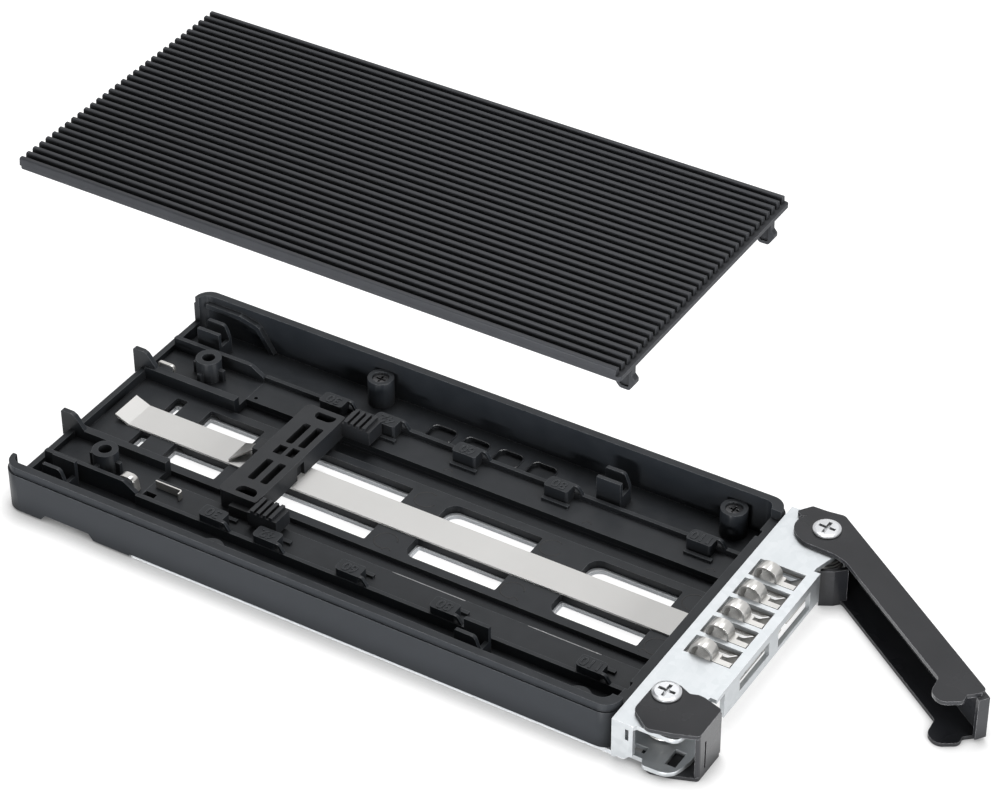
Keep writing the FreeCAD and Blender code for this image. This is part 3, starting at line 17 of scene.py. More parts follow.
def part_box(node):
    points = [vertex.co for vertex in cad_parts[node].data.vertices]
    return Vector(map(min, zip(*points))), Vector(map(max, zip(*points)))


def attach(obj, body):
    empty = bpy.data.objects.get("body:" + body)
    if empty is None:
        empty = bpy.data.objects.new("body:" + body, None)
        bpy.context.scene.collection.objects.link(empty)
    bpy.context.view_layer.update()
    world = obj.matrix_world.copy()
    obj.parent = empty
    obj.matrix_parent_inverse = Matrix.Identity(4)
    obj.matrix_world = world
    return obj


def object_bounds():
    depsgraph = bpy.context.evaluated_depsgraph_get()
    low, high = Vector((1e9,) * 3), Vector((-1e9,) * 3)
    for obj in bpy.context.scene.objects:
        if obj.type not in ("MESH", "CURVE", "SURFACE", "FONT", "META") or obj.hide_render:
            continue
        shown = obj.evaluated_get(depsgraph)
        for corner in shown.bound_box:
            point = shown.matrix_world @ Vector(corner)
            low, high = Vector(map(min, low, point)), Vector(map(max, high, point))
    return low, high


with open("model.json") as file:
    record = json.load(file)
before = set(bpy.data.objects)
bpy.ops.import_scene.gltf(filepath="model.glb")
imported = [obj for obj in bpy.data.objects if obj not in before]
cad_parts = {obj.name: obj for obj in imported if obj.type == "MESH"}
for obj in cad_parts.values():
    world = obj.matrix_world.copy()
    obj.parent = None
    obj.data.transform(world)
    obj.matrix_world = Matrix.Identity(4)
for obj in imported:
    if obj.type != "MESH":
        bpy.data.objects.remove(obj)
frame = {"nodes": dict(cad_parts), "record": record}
nodes = frame["nodes"]
cad_low, cad_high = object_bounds()
scene = bpy.context.scene
MM = 0.001
print("nodes:", len(nodes), "size in mm:", [round(v / MM, 1) for v in cad_high - cad_low])

# %% [markdown]
# ## The camera's direction
# A photograph of a product is usually taken from a little distance with a long lens, which
# keeps opposite edges almost parallel. The camera here looks down on the tray from one side.
# Its direction comes from three angles rather than from dragging it by hand, so that each one
# can be read and changed by itself.

# %% Turn the camera
AZIMUTH, ELEVATION, ROLL = (math.radians(a) for a in (31.51, 37.30, -0.30))
back = Vector((math.sin(AZIMUTH) * math.cos(ELEVATION),
               -math.cos(AZIMUTH) * math.cos(ELEVATION), math.sin(ELEVATION)))
level = Vector((math.cos(AZIMUTH), math.sin(AZIMUTH), 0))
upward = back.cross(level)
right = level * math.cos(ROLL) + upward * math.sin(ROLL)
up = upward * math.cos(ROLL) - level * math.sin(ROLL)
print("looking along", [round(-v, 2) for v in back])

# %% [markdown]
# ## The camera's place
# The picture's centre is given as steps to the right and up from the middle of the tray's rear
# rim. The camera stands a fixed distance back from there. The lens is worked out from the focal
# length in pixels, because that is what a picture can be measured in.

# %% Place the camera
DISTANCE = 640.34 * MM
STEP_RIGHT, STEP_UP = 75.40 * MM, -4.91 * MM
FOCAL_PIXELS, IMAGE_WIDTH, SENSOR = 3350.69, 1000, 36.0
NEAREST, FARTHEST = 0.01, 10.0
tray_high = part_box("tray_frame")[1]
rear_edge = Vector((-tray_high.x, 0, tray_high.z))

camera_data = bpy.data.cameras.new("studio_camera")
camera_data.sensor_width = SENSOR
camera_data.lens = FOCAL_PIXELS / IMAGE_WIDTH * SENSOR
camera_data.clip_start, camera_data.clip_end = NEAREST, FARTHEST
camera = bpy.data.objects.new("studio_camera", camera_data)
aim = rear_edge + right * STEP_RIGHT + up * STEP_UP
turn = Matrix((right, up, back)).transposed().to_4x4()
camera.matrix_world = Matrix.Translation(aim + back * DISTANCE) @ turn
scene.collection.objects.link(camera)
scene.camera = camera
print("lens:", round(camera_data.lens, 1), "mm, aimed at", [round(v / MM, 1) for v in aim])

# %% [markdown]
# ## Nodes in a few words
# The background, the paper and every finish are small graphs of nodes. One helper adds a node
# and fills its sockets with numbers or with other nodes' results. Three more add the kinds that
# come up most: a sum, a ramp between two values, and a blend of two colours.

# %% Helpers for nodes


def put(tree, kind, sockets=None, **settings):
    """Add one node. Sockets take values or other nodes' outputs."""
    node = tree.nodes.new(kind)
    for name, value in settings.items():
        setattr(node, name, value)
    for name, value in (sockets or {}).items():
        if isinstance(value, bpy.types.NodeSocket):
            tree.links.new(value, node.inputs[name])
        else:
            node.inputs[name].default_value = value
    return node


def sums(tree, operation, *values):
    """Work out one sum, such as a product or the larger of two values."""
    return put(tree, "ShaderNodeMath", dict(enumerate(values)), operation=operation).outputs[0]


def ramp(tree, value, low, high, first=0.0, last=1.0):
    """Map a value between low and high to one between first and last."""
    return put(tree, "ShaderNodeMapRange",
               {"Value": value, "From Min": low, "From Max": high,
                "To Min": first, "To Max": last}).outputs[0]


def tint(tree, mask, under, over):
    """Blend two colours: the first shows where the mask is 0, the second where it is 1."""
    return put(tree, "ShaderNodeMix", {"Factor": mask, "A": under, "B": over},
               data_type="RGBA").outputs["Result"]


def hue(red, green, blue):
    """A solid colour."""
    return (red, green, blue, 1.0)


print("nodes can be added")

# %% [markdown]
# ## A white background
# The caddy stands on white paper that fades into a white background. A world as bright as that
# would bleach the parts. The light path node tells which rays show a background: those from the
# camera, off gloss and through glass. They find it white, and the rest get a fraction of it.

# %% Background
AMBIENT = 0.08


def background_ray(tree):
    """One for rays that show a background, zero for the others."""
    paths = put(tree, "ShaderNodeLightPath").outputs
    seen = sums(tree, "MAXIMUM", paths["Is Camera Ray"], paths["Is Glossy Ray"])
    return sums(tree, "MAXIMUM", seen, paths["Is Transmission Ray"])


scene.view_settings.view_transform = "Standard"
world = bpy.data.worlds.new("white_studio")
world.use_nodes = True
scene.world = world
sky = world.node_tree
sky.nodes.clear()
strength = sums(sky, "MULTIPLY_ADD", background_ray(sky), 1.0 - AMBIENT, AMBIENT)
backdrop = put(sky, "ShaderNodeBackground", {"Strength": strength})
put(sky, "ShaderNodeOutputWorld", {"Surface": backdrop.outputs[0]})
print("world strength:", AMBIENT, "and 1 where it is seen")

# %% [markdown]
# ## Softboxes
# Large area lamps stand in for softboxes: the larger a lamp is, the softer the edge of its
# shadow. Two of them share one place high behind the tray. A small one lights the long side
# wall from low down, and one stands beyond the front end and gives the bent steel its shine.

# %% Lamps
MIDDLE = (0.02, 0.0, 0.02)
ABOVE, TOP_SIZE = (-0.10, 0.30, 0.95), 0.50


def softbox(name, place, size, power):
    """A square area lamp that faces the caddy's middle. Metres and watts."""
    data = bpy.data.lights.new(name, "AREA")
    data.shape = "SQUARE"
    data.size = size
    data.energy = power
    lamp = bpy.data.objects.new(name, data)
    lamp.location = place
    lamp.rotation_euler = (Vector(MIDDLE) - Vector(place)).to_track_quat("-Z", "Y").to_euler()
    scene.collection.objects.link(lamp)
    return lamp


tray_lamp = softbox("tray_softbox", ABOVE, TOP_SIZE, 6.2)
cover_lamp = softbox("cover_softbox", ABOVE, TOP_SIZE, 6.8)
softbox("side_softbox", (0.10, -0.90, 0.06), 0.18, 9.5)
softbox("end_softbox", (0.85, -0.25, 0.20), 0.40, 6.5)

# %% [markdown]
# ## A lamp for each half
# The lifted cover would throw a broad shadow over the tray. Light linking splits the top light
# in two. One lamp lights everything but the cover and passes through it, and its twin lights
# the cover alone.

# %% Link the top lamps
lifted = bpy.data.collections.new("lifted_cover")
for name in ("heat_sink_cover", "cover_pad"):
    lifted.objects.link(nodes[name])


def link_state(name, state):
    """A collection that tells a lamp to include or leave out the lifted cover."""
    chosen = bpy.data.collections.new(name)
    chosen.children.link(lifted)
    chosen.collection_children[0].light_linking.link_state = state
    return chosen


tray_lamp.light_linking.receiver_collection = link_state("lit_below", "EXCLUDE")
tray_lamp.light_linking.blocker_collection = link_state("shades_below", "EXCLUDE")
cover_lamp.light_linking.receiver_collection = link_state("lit_above", "INCLUDE")
print("linked:", tray_lamp.name, "and", cover_lamp.name)

# %% [markdown]
# ## The paper
# The paper is one large square. In a product photograph it is so evenly white that no edge
# shows. Rays that show a background therefore find it glowing, over a darker shade of itself
# that still takes the shadow. To the others it is plain paper that throws light back up.

# %% Lay the paper
FLOOR_REACH = 3.0
CORNERS = ((-1, -1), (1, -1), (1, 1), (-1, 1))
PAPER, SHADED = hue(0.80, 0.80, 0.80), hue(0.42, 0.42, 0.42)
floor_mesh = bpy.data.meshes.new("paper")
floor_mesh.from_pydata([(x * FLOOR_REACH, y * FLOOR_REACH, cad_low.z) for x, y in CORNERS],
                       [], [(0, 1, 2, 3)])
floor = bpy.data.objects.new("paper", floor_mesh)
scene.collection.objects.link(floor)

white_paper = bpy.data.materials.new("white_paper")
white_paper.use_nodes = True
sheet = white_paper.node_tree
sheet.nodes.clear()
plain = put(sheet, "ShaderNodeBsdfDiffuse", {"Color": PAPER})
shaded = put(sheet, "ShaderNodeBsdfDiffuse", {"Color": SHADED})
glow = put(sheet, "ShaderNodeEmission")
glowing = put(sheet, "ShaderNodeAddShader", {0: shaded.outputs[0], 1: glow.outputs[0]})
chosen = put(sheet, "ShaderNodeMixShader", {0: background_ray(sheet), 1: plain.outputs[0],
                                            2: glowing.outputs[0]})
put(sheet, "ShaderNodeOutputMaterial", {"Surface": chosen.outputs[0]})
floor_mesh.materials.append(white_paper)
print("paper:", 2 * FLOOR_REACH, "m square")

# %% [markdown]
# ## The contact shadow
# Just where the tray touches the paper there is a narrow dark line, softer than any lamp's
# shadow. The ambient occlusion node finds it. The paper that shows through the tray's windows
# stays bright, so the darkening is switched off inside the tray's outline.

# %% Darken the paper around the caddy
CONTACT_REACH, CONTACT_CURVE = 5.0 * MM, 1.3
EDGE_ROOM = 2.0 * MM
GLOW = 0.86
contact = put(sheet, "ShaderNodeAmbientOcclusion", {"Distance": CONTACT_REACH}, samples=8)
spot = put(sheet, "ShaderNodeNewGeometry")
axes = put(sheet, "ShaderNodeSeparateXYZ", {0: spot.outputs["Position"]})
within = [sums(sheet, "LESS_THAN", sums(sheet, "ABSOLUTE", axes.outputs[axis]),
               half - EDGE_ROOM)
          for axis, half in (("X", tray_high.x), ("Y", tray_high.y))]
inside = sums(sheet, "MULTIPLY", *within)
open_sky = sums(sheet, "MAXIMUM", sums(sheet, "POWER", contact.outputs["AO"], CONTACT_CURVE),
                inside)
sheet.links.new(sums(sheet, "MULTIPLY", open_sky, GLOW), glow.inputs["Strength"])
print("contact shadow reaches", CONTACT_REACH / MM, "mm")

# %% [markdown]
# ## Shared effects
# Grain, wear, zinc, shade and dust turn up in several finishes, each time with other values.
# Such an effect is built once as a node group. It hands out masks and heights, and the surface
# shader itself stays in each material, where its other sockets can be set.

# %% Helpers for groups


def effect(name, inputs, outputs):
    """Start a node group with named number inputs and outputs."""
    group = bpy.data.node_groups.new(name, "ShaderNodeTree")
    for label, value in inputs:
        socket = group.interface.new_socket(label, in_out="INPUT", socket_type="NodeSocketFloat")
        socket.default_value = value
    for label in outputs:
        group.interface.new_socket(label, in_out="OUTPUT", socket_type="NodeSocketFloat")
    asked = group.nodes.new("NodeGroupInput").outputs
    return group, asked, group.nodes.new("NodeGroupOutput").inputs


def use(tree, group, **values):
    """Place an effect in a material."""
    return put(tree, "ShaderNodeGroup", values, node_tree=group).outputs


def object_space(group):
    """Coordinates that stay with the piece when it moves."""
    return put(group, "ShaderNodeTexCoord").outputs["Object"]


print("groups can be made")

# %% [markdown]
# ## Fine grain
# Moulded plastic carries a spark-eroded grain, and paint and anodising have one of their own.
# It is far too small to model. A noise texture in object space gives its height, and a much
# larger one gives the slow patches where the surface shines a little more.

# %% Fine grain
PER_METRE, PATCH_SHARE = 1000.0, 0.06
grain, ask, give = effect("fine_grain", [("Size", 0.2)], ["Height", "Patches"])
place = object_space(grain)
frequency = sums(grain, "DIVIDE", PER_METRE, ask["Size"])
small = put(grain, "ShaderNodeTexNoise", {"Vector": place, "Scale": frequency, "Detail": 2.0})
large = put(grain, "ShaderNodeTexNoise",
            {"Vector": place, "Scale": sums(grain, "MULTIPLY", frequency, PATCH_SHARE),
             "Detail": 3.0})
grain.links.new(small.outputs["Fac"], give["Height"])
grain.links.new(large.outputs["Fac"], give["Patches"])
print("group:", grain.name)

# %% [markdown]
# ## Worn edges
# Handling polishes corners first, and sharp edges catch thin lines of light. The bevel node
# answers with a normal that is averaged over a small distance. Where it differs from the true
# normal there is an edge nearby, so the dot product of the two makes a mask. The finishes use it
# to paint both wear and a highlight along edges. Noise breaks the mask up, because wear is never
# even.

# %% Worn and highlit edges
edge_wear_and_highlight, ask, give = effect("worn_and_highlit_edges", [("Reach", 0.0002), ("Amount", 1.0)], ["Mask"])
averaged = put(edge_wear_and_highlight, "ShaderNodeBevel", {"Radius": ask["Reach"]}, samples=4)
true_normal = put(edge_wear_and_highlight, "ShaderNodeNewGeometry")
likeness = put(edge_wear_and_highlight, "ShaderNodeVectorMath",
               {0: averaged.outputs[0], 1: true_normal.outputs["Normal"]},
               operation="DOT_PRODUCT")
edge = ramp(edge_wear_and_highlight, likeness.outputs["Value"], 0.98, 0.80)
spots = put(edge_wear_and_highlight, "ShaderNodeTexNoise", {"Vector": object_space(edge_wear_and_highlight), "Scale": 900.0,
                                         "Detail": 3.0})
broken = ramp(edge_wear_and_highlight, spots.outputs["Fac"], 0.35, 0.65, first=0.35)
wear_and_highlight = sums(edge_wear_and_highlight, "MULTIPLY", edge, broken)
edge_wear_and_highlight.links.new(sums(edge_wear_and_highlight, "MULTIPLY", wear_and_highlight, ask["Amount"]), give["Mask"])
print("group:", edge_wear_and_highlight.name)

# %% [markdown]
# ## Zinc bloom
# Galvanised sheet is covered in crystals of zinc that each catch the light a little
# differently, with long rolling marks under them. Voronoi cells give the crystals, and noise
# stretched along one axis gives the marks.

# %% Zinc bloom
ROLLING = (1500.0, 90.0, 1500.0)
zinc, ask, give = effect("zinc_bloom", [("Size", 1.2)], ["Height", "Patches"])
place = object_space(zinc)
crystals = put(zinc, "ShaderNodeTexVoronoi",
               {"Vector": place, "Scale": sums(zinc, "DIVIDE", PER_METRE, ask["Size"])})
lightness = put(zinc, "ShaderNodeSeparateColor", {"Color": crystals.outputs["Color"]})
stretch = put(zinc, "ShaderNodeMapping", {"Vector": place, "Scale": ROLLING})
rolling = put(zinc, "ShaderNodeTexNoise", {"Vector": stretch.outputs[0], "Scale": 1.0,
                                           "Detail": 2.0})
blend = sums(zinc, "MULTIPLY_ADD", lightness.outputs["Red"], 0.5, 0.25)
shade = sums(zinc, "MULTIPLY_ADD", rolling.outputs["Fac"], 0.5, blend)
zinc.links.new(rolling.outputs["Fac"], give["Height"])
zinc.links.new(shade, give["Patches"])
print("group:", zinc.name)

# %% [markdown]
# ## Painted shade in crevices
# Light hardly reaches the bottom of a narrow groove, and a real moulding looks darker there than
# a few lamps make it. The ambient occlusion node tells how open a point is. The effect turns
# that into a factor between a floor value and one, with which the finishes paint shade into
# crevices.

# %% Painted shade in crevices
crevice, ask, give = effect("painted_crevice_shade", [("Reach", 0.006), ("Floor", 0.2)], ["Open"])
openness = put(crevice, "ShaderNodeAmbientOcclusion", {"Distance": ask["Reach"]}, samples=6)
shade = ramp(crevice, openness.outputs["AO"], 0.30, 0.95, first=ask["Floor"])
crevice.links.new(shade, give["Open"])
print("group:", crevice.name)

# %% [markdown]
# ## Settled dust
# A little pale dust gathers on faces that look up. The Z part of the normal finds those faces
# and a soft noise thins the dust out.

# %% Settled dust
dust, ask, give = effect("settled_dust", [("Amount", 0.1)], ["Mask"])
facing = put(dust, "ShaderNodeNewGeometry")
normal = put(dust, "ShaderNodeSeparateXYZ", {0: facing.outputs["Normal"]})
upper = ramp(dust, normal.outputs["Z"], 0.6, 1.0)
clouds = put(dust, "ShaderNodeTexNoise", {"Vector": object_space(dust), "Scale": 320.0,
                                          "Detail": 5.0})
thin = sums(dust, "MULTIPLY", clouds.outputs["Fac"], upper)
dust.links.new(sums(dust, "MULTIPLY", thin, ask["Amount"]), give["Mask"])
print("group:", dust.name)

# %% [markdown]
# ## A finish for every surface
# All finishes share one plan: a base colour that shifts between two close shades, a lighter
# colour where the edges are worn and carry a painted highlight or where dust lies, painted shade
# in the crevices, roughness that wanders, and a fine bump. Two functions build that plan, and
# each finish calls them with its own numbers. Wear and dust are left small, because the caddy is
# nearly new.

# %% Build a finish
COAT_ROUGHNESS = 0.12
DUST, DEEP_SHADE = hue(0.45, 0.45, 0.44), hue(0.002, 0.002, 0.002)
CREVICE_REACH, CREVICE_ROUGHNESS = 5.0 * MM, 0.9
SOFT_SPECULAR = 0.25


def surface_colour(tree, patches, dark, light, wear_and_highlight, edge_amount, reach, dusty):
    """Two base shades with worn edges, a painted edge highlight, and dust."""
    # One edge colour carries both wear and a painted highlight.
    edges = use(tree, edge_wear_and_highlight, Reach=reach * MM, Amount=edge_amount)
    colour = tint(tree, edges["Mask"], tint(tree, patches, dark, light), wear_and_highlight)
    if dusty:
        colour = tint(tree, use(tree, dust, Amount=dusty)["Mask"], colour, DUST)
    return colour


def finish(name, dark, light, wear_and_highlight, rough, size, depth, pattern=grain, metal=0.0, coat=0.0,
           edge_amount=0.5, reach=0.2, dusty=0.0, crevice_shade=0.0):
    """One material. Sizes are in millimetres. Crevice shade is the share of the colour left at
    the bottom of a crevice, where shade is painted in.
    """
    material = bpy.data.materials.new(name)
    material.use_nodes = True
    tree = material.node_tree
    surface = tree.nodes["Principled BSDF"].inputs
    surface["Metallic"].default_value = metal
    surface["Coat Weight"].default_value = coat
    surface["Coat Roughness"].default_value = COAT_ROUGHNESS
    texture = use(tree, pattern, Size=size)
    colour = surface_colour(tree, texture["Patches"], dark, light, wear_and_highlight, edge_amount, reach,
                            dusty)
    roughness = ramp(tree, texture["Patches"], 0.25, 0.75, *rough)
    # Painted shade: crevices found by ambient occlusion are darkened towards DEEP_SHADE.
    if crevice_shade:
        opening = use(tree, crevice, Reach=CREVICE_REACH, Floor=crevice_shade)["Open"]
        colour = tint(tree, opening, DEEP_SHADE, colour)
        roughness = put(tree, "ShaderNodeMix", {"Factor": opening, "A": CREVICE_ROUGHNESS,
                                                "B": roughness}).outputs["Result"]
        surface["Specular IOR Level"].default_value = SOFT_SPECULAR
    bump = put(tree, "ShaderNodeBump", {"Height": texture["Height"], "Strength": 1.0,
                                        "Distance": depth * MM})
    tree.links.new(colour, surface["Base Color"])
    tree.links.new(roughness, surface["Roughness"])
    tree.links.new(bump.outputs[0], surface["Normal"])
    return material


print("finishes can be made")

# %% [markdown]
# ## Black nylon
# The tray, its rails and the stop are moulded in black nylon. The plastic itself is nearly
# black, and it looks charcoal only because its grain spreads the white of the room. So the
# colour stays very dark, and the roughness does the rest.

# %% Black nylon
# The third colour of each finish goes on its edges: wear and a painted highlight together.
finishes = {
    "tray_plastic": finish("grained_black_nylon", hue(0.015, 0.018, 0.022),
                           hue(0.022, 0.025, 0.030), hue(0.16, 0.17, 0.18), (0.30, 0.42), 0.22,
                           0.006, edge_amount=0.7, reach=0.25, dusty=0.02, crevice_shade=0.22),
    "stop_plastic": finish("grained_stop_nylon", hue(0.016, 0.018, 0.021),
                           hue(0.023, 0.025, 0.029), hue(0.12, 0.12, 0.13), (0.38, 0.50), 0.18,
                           0.006, edge_amount=0.6, dusty=0.03, crevice_shade=0.15),
}
print("finishes:", len(finishes))

# %% [markdown]
# ## Bare metal
# The bracket and the plate under the tray are galvanised sheet. The contact fingers and clips
# are polished spring steel, and the screws are plated. A metal has no colour but the one it
# tints reflections with. The plate is seen only as a bright edge, so it has a finish of its
# own: less metallic, with a near-white painted highlight laid along its edges far more strongly
# than wear.

# %% Bare metal
finishes["galvanised"] = finish(
    "galvanised_sheet", hue(0.44, 0.465, 0.48), hue(0.52, 0.54, 0.555), hue(0.88, 0.89, 0.90),
    (0.44, 0.52), 1.3, 0.002, pattern=zinc, metal=1.0, edge_amount=0.6, reach=0.15)
finishes["spring_steel"] = finish(
    "polished_spring_steel", hue(0.60, 0.59, 0.57), hue(0.70, 0.69, 0.67),
    hue(0.90, 0.90, 0.88), (0.26, 0.34), 0.5, 0.002, metal=1.0, reach=0.1, crevice_shade=0.35)
finishes["dark_screw"] = finish(
    "dark_oxide_screw", hue(0.10, 0.10, 0.105), hue(0.18, 0.18, 0.185), hue(0.5, 0.5, 0.5),
    (0.18, 0.30), 0.4, 0.003, metal=1.0, reach=0.1)
finishes["bright_screw"] = finish(
    "zinc_plated_screw", hue(0.66, 0.67, 0.69), hue(0.74, 0.75, 0.77), hue(0.92, 0.92, 0.92),
    (0.24, 0.34), 0.4, 0.003, metal=1.0, reach=0.12, crevice_shade=0.3)
# Painted highlight: a near-white colour laid strongly along the plate's edges.
plate_with_painted_edge_highlight = finish(
    "plate_with_painted_edge_highlight", hue(0.46, 0.48, 0.50), hue(0.56, 0.58, 0.60), hue(1.0, 1.0, 1.0),
    (0.40, 0.50), 1.3, 0.002, pattern=zinc, metal=0.25, edge_amount=2.5, reach=0.25)
print("finishes:", len(finishes))

# %% [markdown]
# ## Film and pad
# The strip along the channel is a smooth pale film, and the pad under the cover is a soft
# grey rubber that fills the gap to the drive. Both are plain and nearly without wear, the film
# a little shiny and the pad dull.

# %% Film and pad
finishes["thermal_film"] = finish(
    "thermal_film", hue(0.80, 0.79, 0.77), hue(0.88, 0.87, 0.85), hue(0.92, 0.91, 0.90),
    (0.34, 0.42), 0.8, 0.002, edge_amount=0.3, reach=0.1)
finishes["thermal_pad"] = finish(
    "soft_thermal_pad", hue(0.30, 0.33, 0.37), hue(0.36, 0.39, 0.43), hue(0.42, 0.45, 0.48),
    (0.60, 0.75), 0.35, 0.02, edge_amount=0.2)
print("finishes:", len(finishes))

# %% [markdown]
# ## Anodised fins and painted steel
# The cover is aluminium with a matt black anodised skin, through which a trace of metal shows.
# The lever and the latch are steel under smooth black paint. A thin clear coat over the colour
# gives the paint its gloss, and its worn edges are bright, because bare steel lies below, and
# brighter still as a painted highlight.

# %% Anodised fins and painted steel
finishes["black_fins"] = finish(
    "black_anodised_fins", hue(0.028, 0.030, 0.034), hue(0.042, 0.044, 0.050),
    hue(0.14, 0.145, 0.155), (0.48, 0.60), 0.15, 0.008, metal=0.2, edge_amount=0.6, reach=0.15,
    dusty=0.02, crevice_shade=0.12)
finishes["black_steel"] = finish(
    "black_painted_steel", hue(0.018, 0.019, 0.022), hue(0.026, 0.027, 0.031),
    hue(0.40, 0.40, 0.42), (0.22, 0.30), 0.6, 0.002, coat=0.35, edge_amount=1.2, reach=0.15,
    crevice_shade=0.15)
print("finishes:", sorted(finishes))

# %% [markdown]
# ## Dress the solids
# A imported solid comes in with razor-sharp edges, which real mouldings and folded sheet never
# have. A weld modifier first joins the loose corners, and a bevel modifier then rounds each
# sharp edge by a tenth of a millimetre or two, just enough to catch a thin line of light.
# The solid's own mesh stays as it is underneath.

# %% Soften edges and assign finishes
SHARP = math.radians(34)
JOIN = 0.002 * MM
SOFTEN = {
    0.16: ("tray_frame",),
    0.12: ("rail_far", "rail_near", "rear_rail_far", "rear_rail_near", "catch_tabs",
           "screw_posts", "ssd_stop"),
    0.10: ("lever", "latch", "heat_sink_cover", "lever_screw", "latch_screw"),
    0.08: ("front_bracket", "base_plate"),
    0.05: ("stop_catch", "finger_strip", "thermal_strip", "base_screws", "retaining_clips"),
}
width_of = {name: width for width, names in SOFTEN.items() for name in names}
slot_of = {row["node"]: row["material_slot"] for row in frame["record"]["subparts"]}


def soften(thing, width):
    """Round the sharp edges of a solid by a small width in millimetres."""
    joined = thing.modifiers.new("join_corners", "WELD")
    joined.merge_threshold = JOIN
    rounding = thing.modifiers.new("round_edges", "BEVEL")
    rounding.width = width * MM
    rounding.segments = 2
    rounding.limit_method = "ANGLE"
    rounding.angle_limit = SHARP
    rounding.use_clamp_overlap = True
    rounding.harden_normals = True
    rounding.miter_outer = "MITER_ARC"


for name, thing in nodes.items():
    thing.data.materials.clear()
    thing.data.materials.append(plate_with_painted_edge_highlight if name == "base_plate"
                                else finishes[slot_of[name]])
    if name in width_of:
        soften(thing, width_of[name])
print("dressed:", len(nodes), "solids, softened:", len(width_of))

# %% [markdown]
# ## The moulded length marks
# Small numbers stand on the plates along both rails. They name the length of card, in
# millimetres, for which the stop is set. Text objects are the short way to raised numbers:
# they are real geometry once they are extruded, and they stay editable. They read from the far
# side of the tray.

# %% Raise the numbers
LENGTHS = (30, 42, 60, 80, 110)
MARK_ZERO, LABEL_CENTRE = 5.2 * MM, 3.8 * MM
PLATE_SIDE, PLATE_TOP = 19.95 * MM, 6.0 * MM
DIGIT_HEIGHT, DIGIT_RISE, DIGIT_EDGE = 3.0 * MM, 0.10 * MM, 0.03 * MM


def raised_number(name, text, x, y):
    """A raised number that lies on a plate."""
    curve = bpy.data.curves.new(name, "FONT")
    curve.body = text
    curve.size = DIGIT_HEIGHT
    curve.align_x, curve.align_y = "CENTER", "CENTER"
    curve.extrude = DIGIT_RISE
    curve.bevel_depth = DIGIT_EDGE
    curve.offset = DIGIT_EDGE
    curve.materials.append(finishes["tray_plastic"])
    number = bpy.data.objects.new(name, curve)
    number.location = (x, y, PLATE_TOP)
    number.rotation_euler = (0, 0, math.pi)
    scene.collection.objects.link(number)
    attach(number, "tray")


for length in LENGTHS:
    along = rear_edge.x + MARK_ZERO + length * MM + LABEL_CENTRE
    for side, sign in (("far", 1), ("near", -1)):
        raised_number(f"mark_{length}_{side}", str(length), along, sign * PLATE_SIDE)
print("numbers:", 2 * len(LENGTHS))

# %% [markdown]
# ## Finishes for moulding marks
# A moulding carries traces of its mould: rings where pins pushed it out, a shiny bead where
# two halves of the mould met, and polished rims around small openings. The rings are shallow
# grooves, drawn as dull near-black beads whose colour is painted shade. The beads are
# mirror-smooth, so they get a clear coat, and the parting beads are a paler grey, a painted
# highlight of the light they catch.

# %% Marks' finishes
glossy_bead = finish("glossy_black_bead", hue(0.022, 0.024, 0.027), hue(0.032, 0.034, 0.038),
                     hue(0.16, 0.17, 0.18), (0.10, 0.16), 0.3, 0.001, coat=1.0)
# Painted highlight: the parting bead's pale grey stands in for the light it catches.
bead_painted_highlight = finish("parting_bead_painted_highlight", hue(0.30, 0.31, 0.32), hue(0.42, 0.43, 0.44),
                   hue(0.5, 0.5, 0.5), (0.10, 0.16), 0.3, 0.001, coat=1.0)
# Painted shade: the near-black ring beads stand in for the shade inside shallow grooves.
ring_groove_painted_shade = finish("pin_ring_painted_shade", hue(0.006, 0.006, 0.007),
                      hue(0.010, 0.010, 0.011), hue(0.03, 0.03, 0.03), (0.55, 0.65), 0.2, 0.002)
print("marks' finishes:", glossy_bead.name, bead_painted_highlight.name, ring_groove_painted_shade.name)

# %% [markdown]
# ## A bead along a path
# All of these marks are one shape, a low arch swept along a path on a surface. Curve objects
# can do that with a bevel profile, but here the arch has to stand upright on the floor
# at every turn, and mesh code keeps it so. Each point of the path gets a ring of corners, and
# each pair of rings is joined by faces.

# %% Sweep a bead
ARCH = ((-0.5, 0.0), (-0.34, 0.72), (0.0, 1.0), (0.34, 0.72), (0.5, 0.0))
marks = []


def arch_rings(work, path, width, height, closed):
    """The arch's corners at each point of a path, square to the path's direction."""
    rings = []
    for index, point in enumerate(path):
        before = path[index - 1] if index or closed else point
        after = path[(index + 1) % len(path)] if index < len(path) - 1 or closed else point
        along = Vector(after) - Vector(before)
        across = Vector((along.y, -along.x, 0)).normalized()
        rings.append([work.verts.new((Vector(point) + across * side * width
                                      + Vector((0, 0, rise * height))) * MM)
                      for side, rise in ARCH])
    return rings


def bead(name, path, width, height, material, closed=False):
    """A low bead along a path on the tray. Sizes are in millimetres."""
    work = bmesh.new()
    rings = arch_rings(work, path, width, height, closed)
    following = rings[1:] + rings[:1] if closed else rings[1:]
    for first, second in zip(rings, following):
        for low, high in zip(range(len(ARCH)), list(range(1, len(ARCH))) + [0]):
            work.faces.new((first[low], first[high], second[high], second[low]))
    if not closed:
        work.faces.new(rings[0])
        work.faces.new(list(reversed(rings[-1])))
    bmesh.ops.recalc_face_normals(work, faces=work.faces)
    mesh = bpy.data.meshes.new(name)
    work.to_mesh(mesh)
    work.free()
    mesh.shade_smooth()
    mesh.materials.append(material)
    mark = bpy.data.objects.new(name, mesh)
    scene.collection.objects.link(mark)
    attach(mark, "tray")
    marks.append(mark)


print("arch of", len(ARCH), "corners")

# %% [markdown]
# ## Rings of the mould's pins
# The pins that push a moulding out of its mould leave shallow rings. The large ones stand in
# pairs on the channel's floor and lie open towards the front. The small ones are open arcs
# beside the windows and on the far shelf.

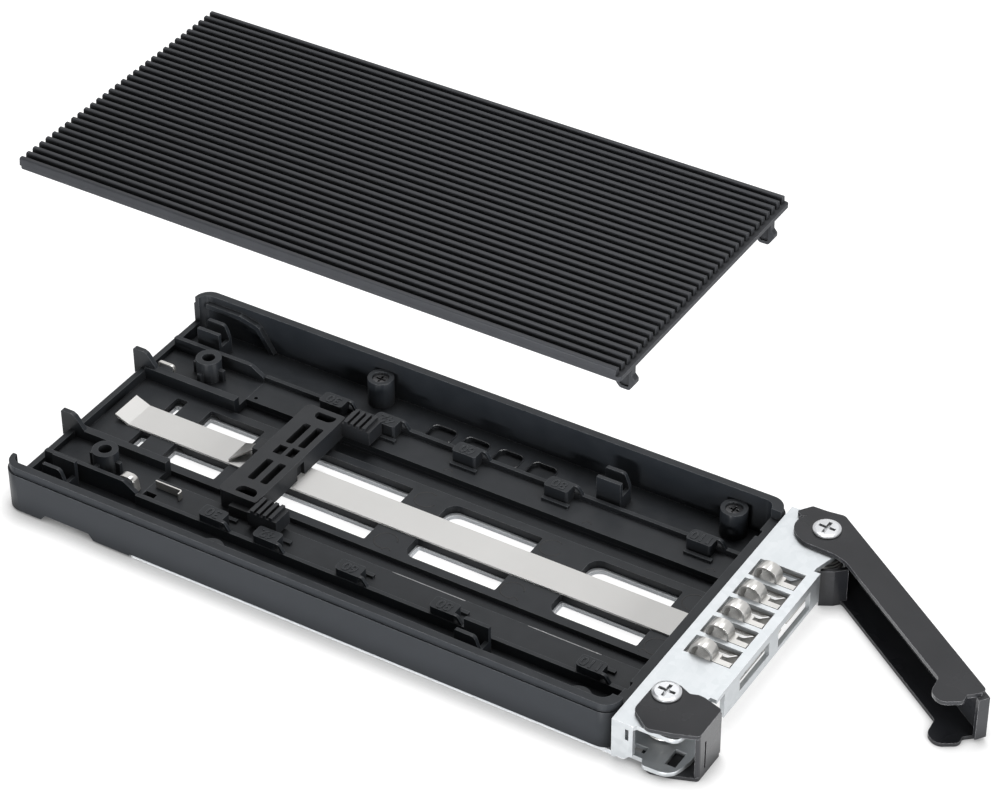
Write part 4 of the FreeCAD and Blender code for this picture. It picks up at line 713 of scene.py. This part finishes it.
# %% Place the rings
FLOOR_Z, SHELF_Z, MARK_RISE = 2.6, 3.3, 0.04
RING_SPOTS, RING_SIDE = (2.7, 29.7, 59.3), 6.9
RING_RADIUS, RING_SWEEP, RING_WIDTH = 2.2, 285, 0.26
PIN_SPOTS = ((4.2, -9.3), (31.2, -9.2), (57.9, -9.4))
SHELF_PIN_SPOTS, SHELF_PIN_SIDE = (2.2, 32.2, 58.0), 15.3
PIN_RADIUS, PIN_ARC, PIN_WIDTH, SHELF_PIN_WIDTH = 0.8, (20, 190, 12), 0.24, 0.22


def arc(x, y, z, radius, start, end, steps=24):
    """Points on an arc. Angles are in degrees."""
    angles = [math.radians(start + (end - start) * i / steps) for i in range(steps + 1)]
    return [(x + radius * math.cos(a), y + radius * math.sin(a), z) for a in angles]


# Each ring is a near-black bead, painted shade of a shallow groove.
for number, x in enumerate(RING_SPOTS):
    for side, start in ((-1, 15), (1, 60)):
        path = arc(x, side * RING_SIDE, FLOOR_Z, RING_RADIUS, start, start + RING_SWEEP)
        bead(f"pin_ring_{number}_{side + 1}", path, RING_WIDTH, MARK_RISE, ring_groove_painted_shade)
for number, (x, y) in enumerate(PIN_SPOTS):
    path = arc(x, y, FLOOR_Z, PIN_RADIUS, *PIN_ARC)
    bead(f"small_pin_{number}", path, PIN_WIDTH, MARK_RISE, ring_groove_painted_shade)
for number, x in enumerate(SHELF_PIN_SPOTS):
    path = arc(x, SHELF_PIN_SIDE, SHELF_Z, PIN_RADIUS, *PIN_ARC)
    bead(f"shelf_pin_{number}", path, SHELF_PIN_WIDTH, MARK_RISE, ring_groove_painted_shade)
print("marks:", len(marks))

# %% [markdown]
# ## Parting beads
# Where two halves of the mould met there is a fine ridge along the near shelf. Its pale grey
# colour is a painted highlight of the light it catches. It stays lower than the gap under the
# stop, which slides over it.

# %% Place the parting beads
BEAD_SPANS, BEAD_STEPS = ((9.0, 24.5), (37.5, 52.5)), 12
BEAD_SIDE, BEAD_SINK = -14.42, 0.03
BEAD_WIDTH, BEAD_RISE = 0.26, 0.09
for number, (rear, front) in enumerate(BEAD_SPANS):
    path = [(rear + (front - rear) * i / BEAD_STEPS, BEAD_SIDE, SHELF_Z - BEAD_SINK)
            for i in range(BEAD_STEPS + 1)]
    bead(f"parting_bead_{number}", path, BEAD_WIDTH, BEAD_RISE, bead_painted_highlight)
print("marks:", len(marks))

# %% [markdown]
# ## Rims of the trough slots
# The four blind slots in the far trough have polished rims that show as thin glints. Each rim
# follows the slot's rounded corners: four quarter arcs in a row, closed into a loop.

# %% Place the rims
TROUGH_Z, SLOTS, QUARTER_STEPS = 2.1, 4, 8
SLOT_REAR, SLOT_FRONT, SLOT_PITCH = -8.3, -3.1, 7.4
SLOT_INNER, SLOT_OUTER, SLOT_ROUND = 23.4, 27.6, 1.2
RIM_OUTSIDE, RIM_WIDTH, RIM_RISE = 0.12, 0.34, 0.22
for number in range(SLOTS):
    rear, front = SLOT_REAR + SLOT_PITCH * number, SLOT_FRONT + SLOT_PITCH * number
    centres = ((front - SLOT_ROUND, SLOT_OUTER - SLOT_ROUND),
               (rear + SLOT_ROUND, SLOT_OUTER - SLOT_ROUND),
               (rear + SLOT_ROUND, SLOT_INNER + SLOT_ROUND),
               (front - SLOT_ROUND, SLOT_INNER + SLOT_ROUND))
    loop = []
    for quarter, (x, y) in enumerate(centres):
        loop += arc(x, y, TROUGH_Z, SLOT_ROUND + RIM_OUTSIDE, 90 * quarter,
                    90 * (quarter + 1), QUARTER_STEPS)
    bead(f"slot_rim_{number}", loop, RIM_WIDTH, RIM_RISE, glossy_bead, closed=True)
print("marks:", len(marks))
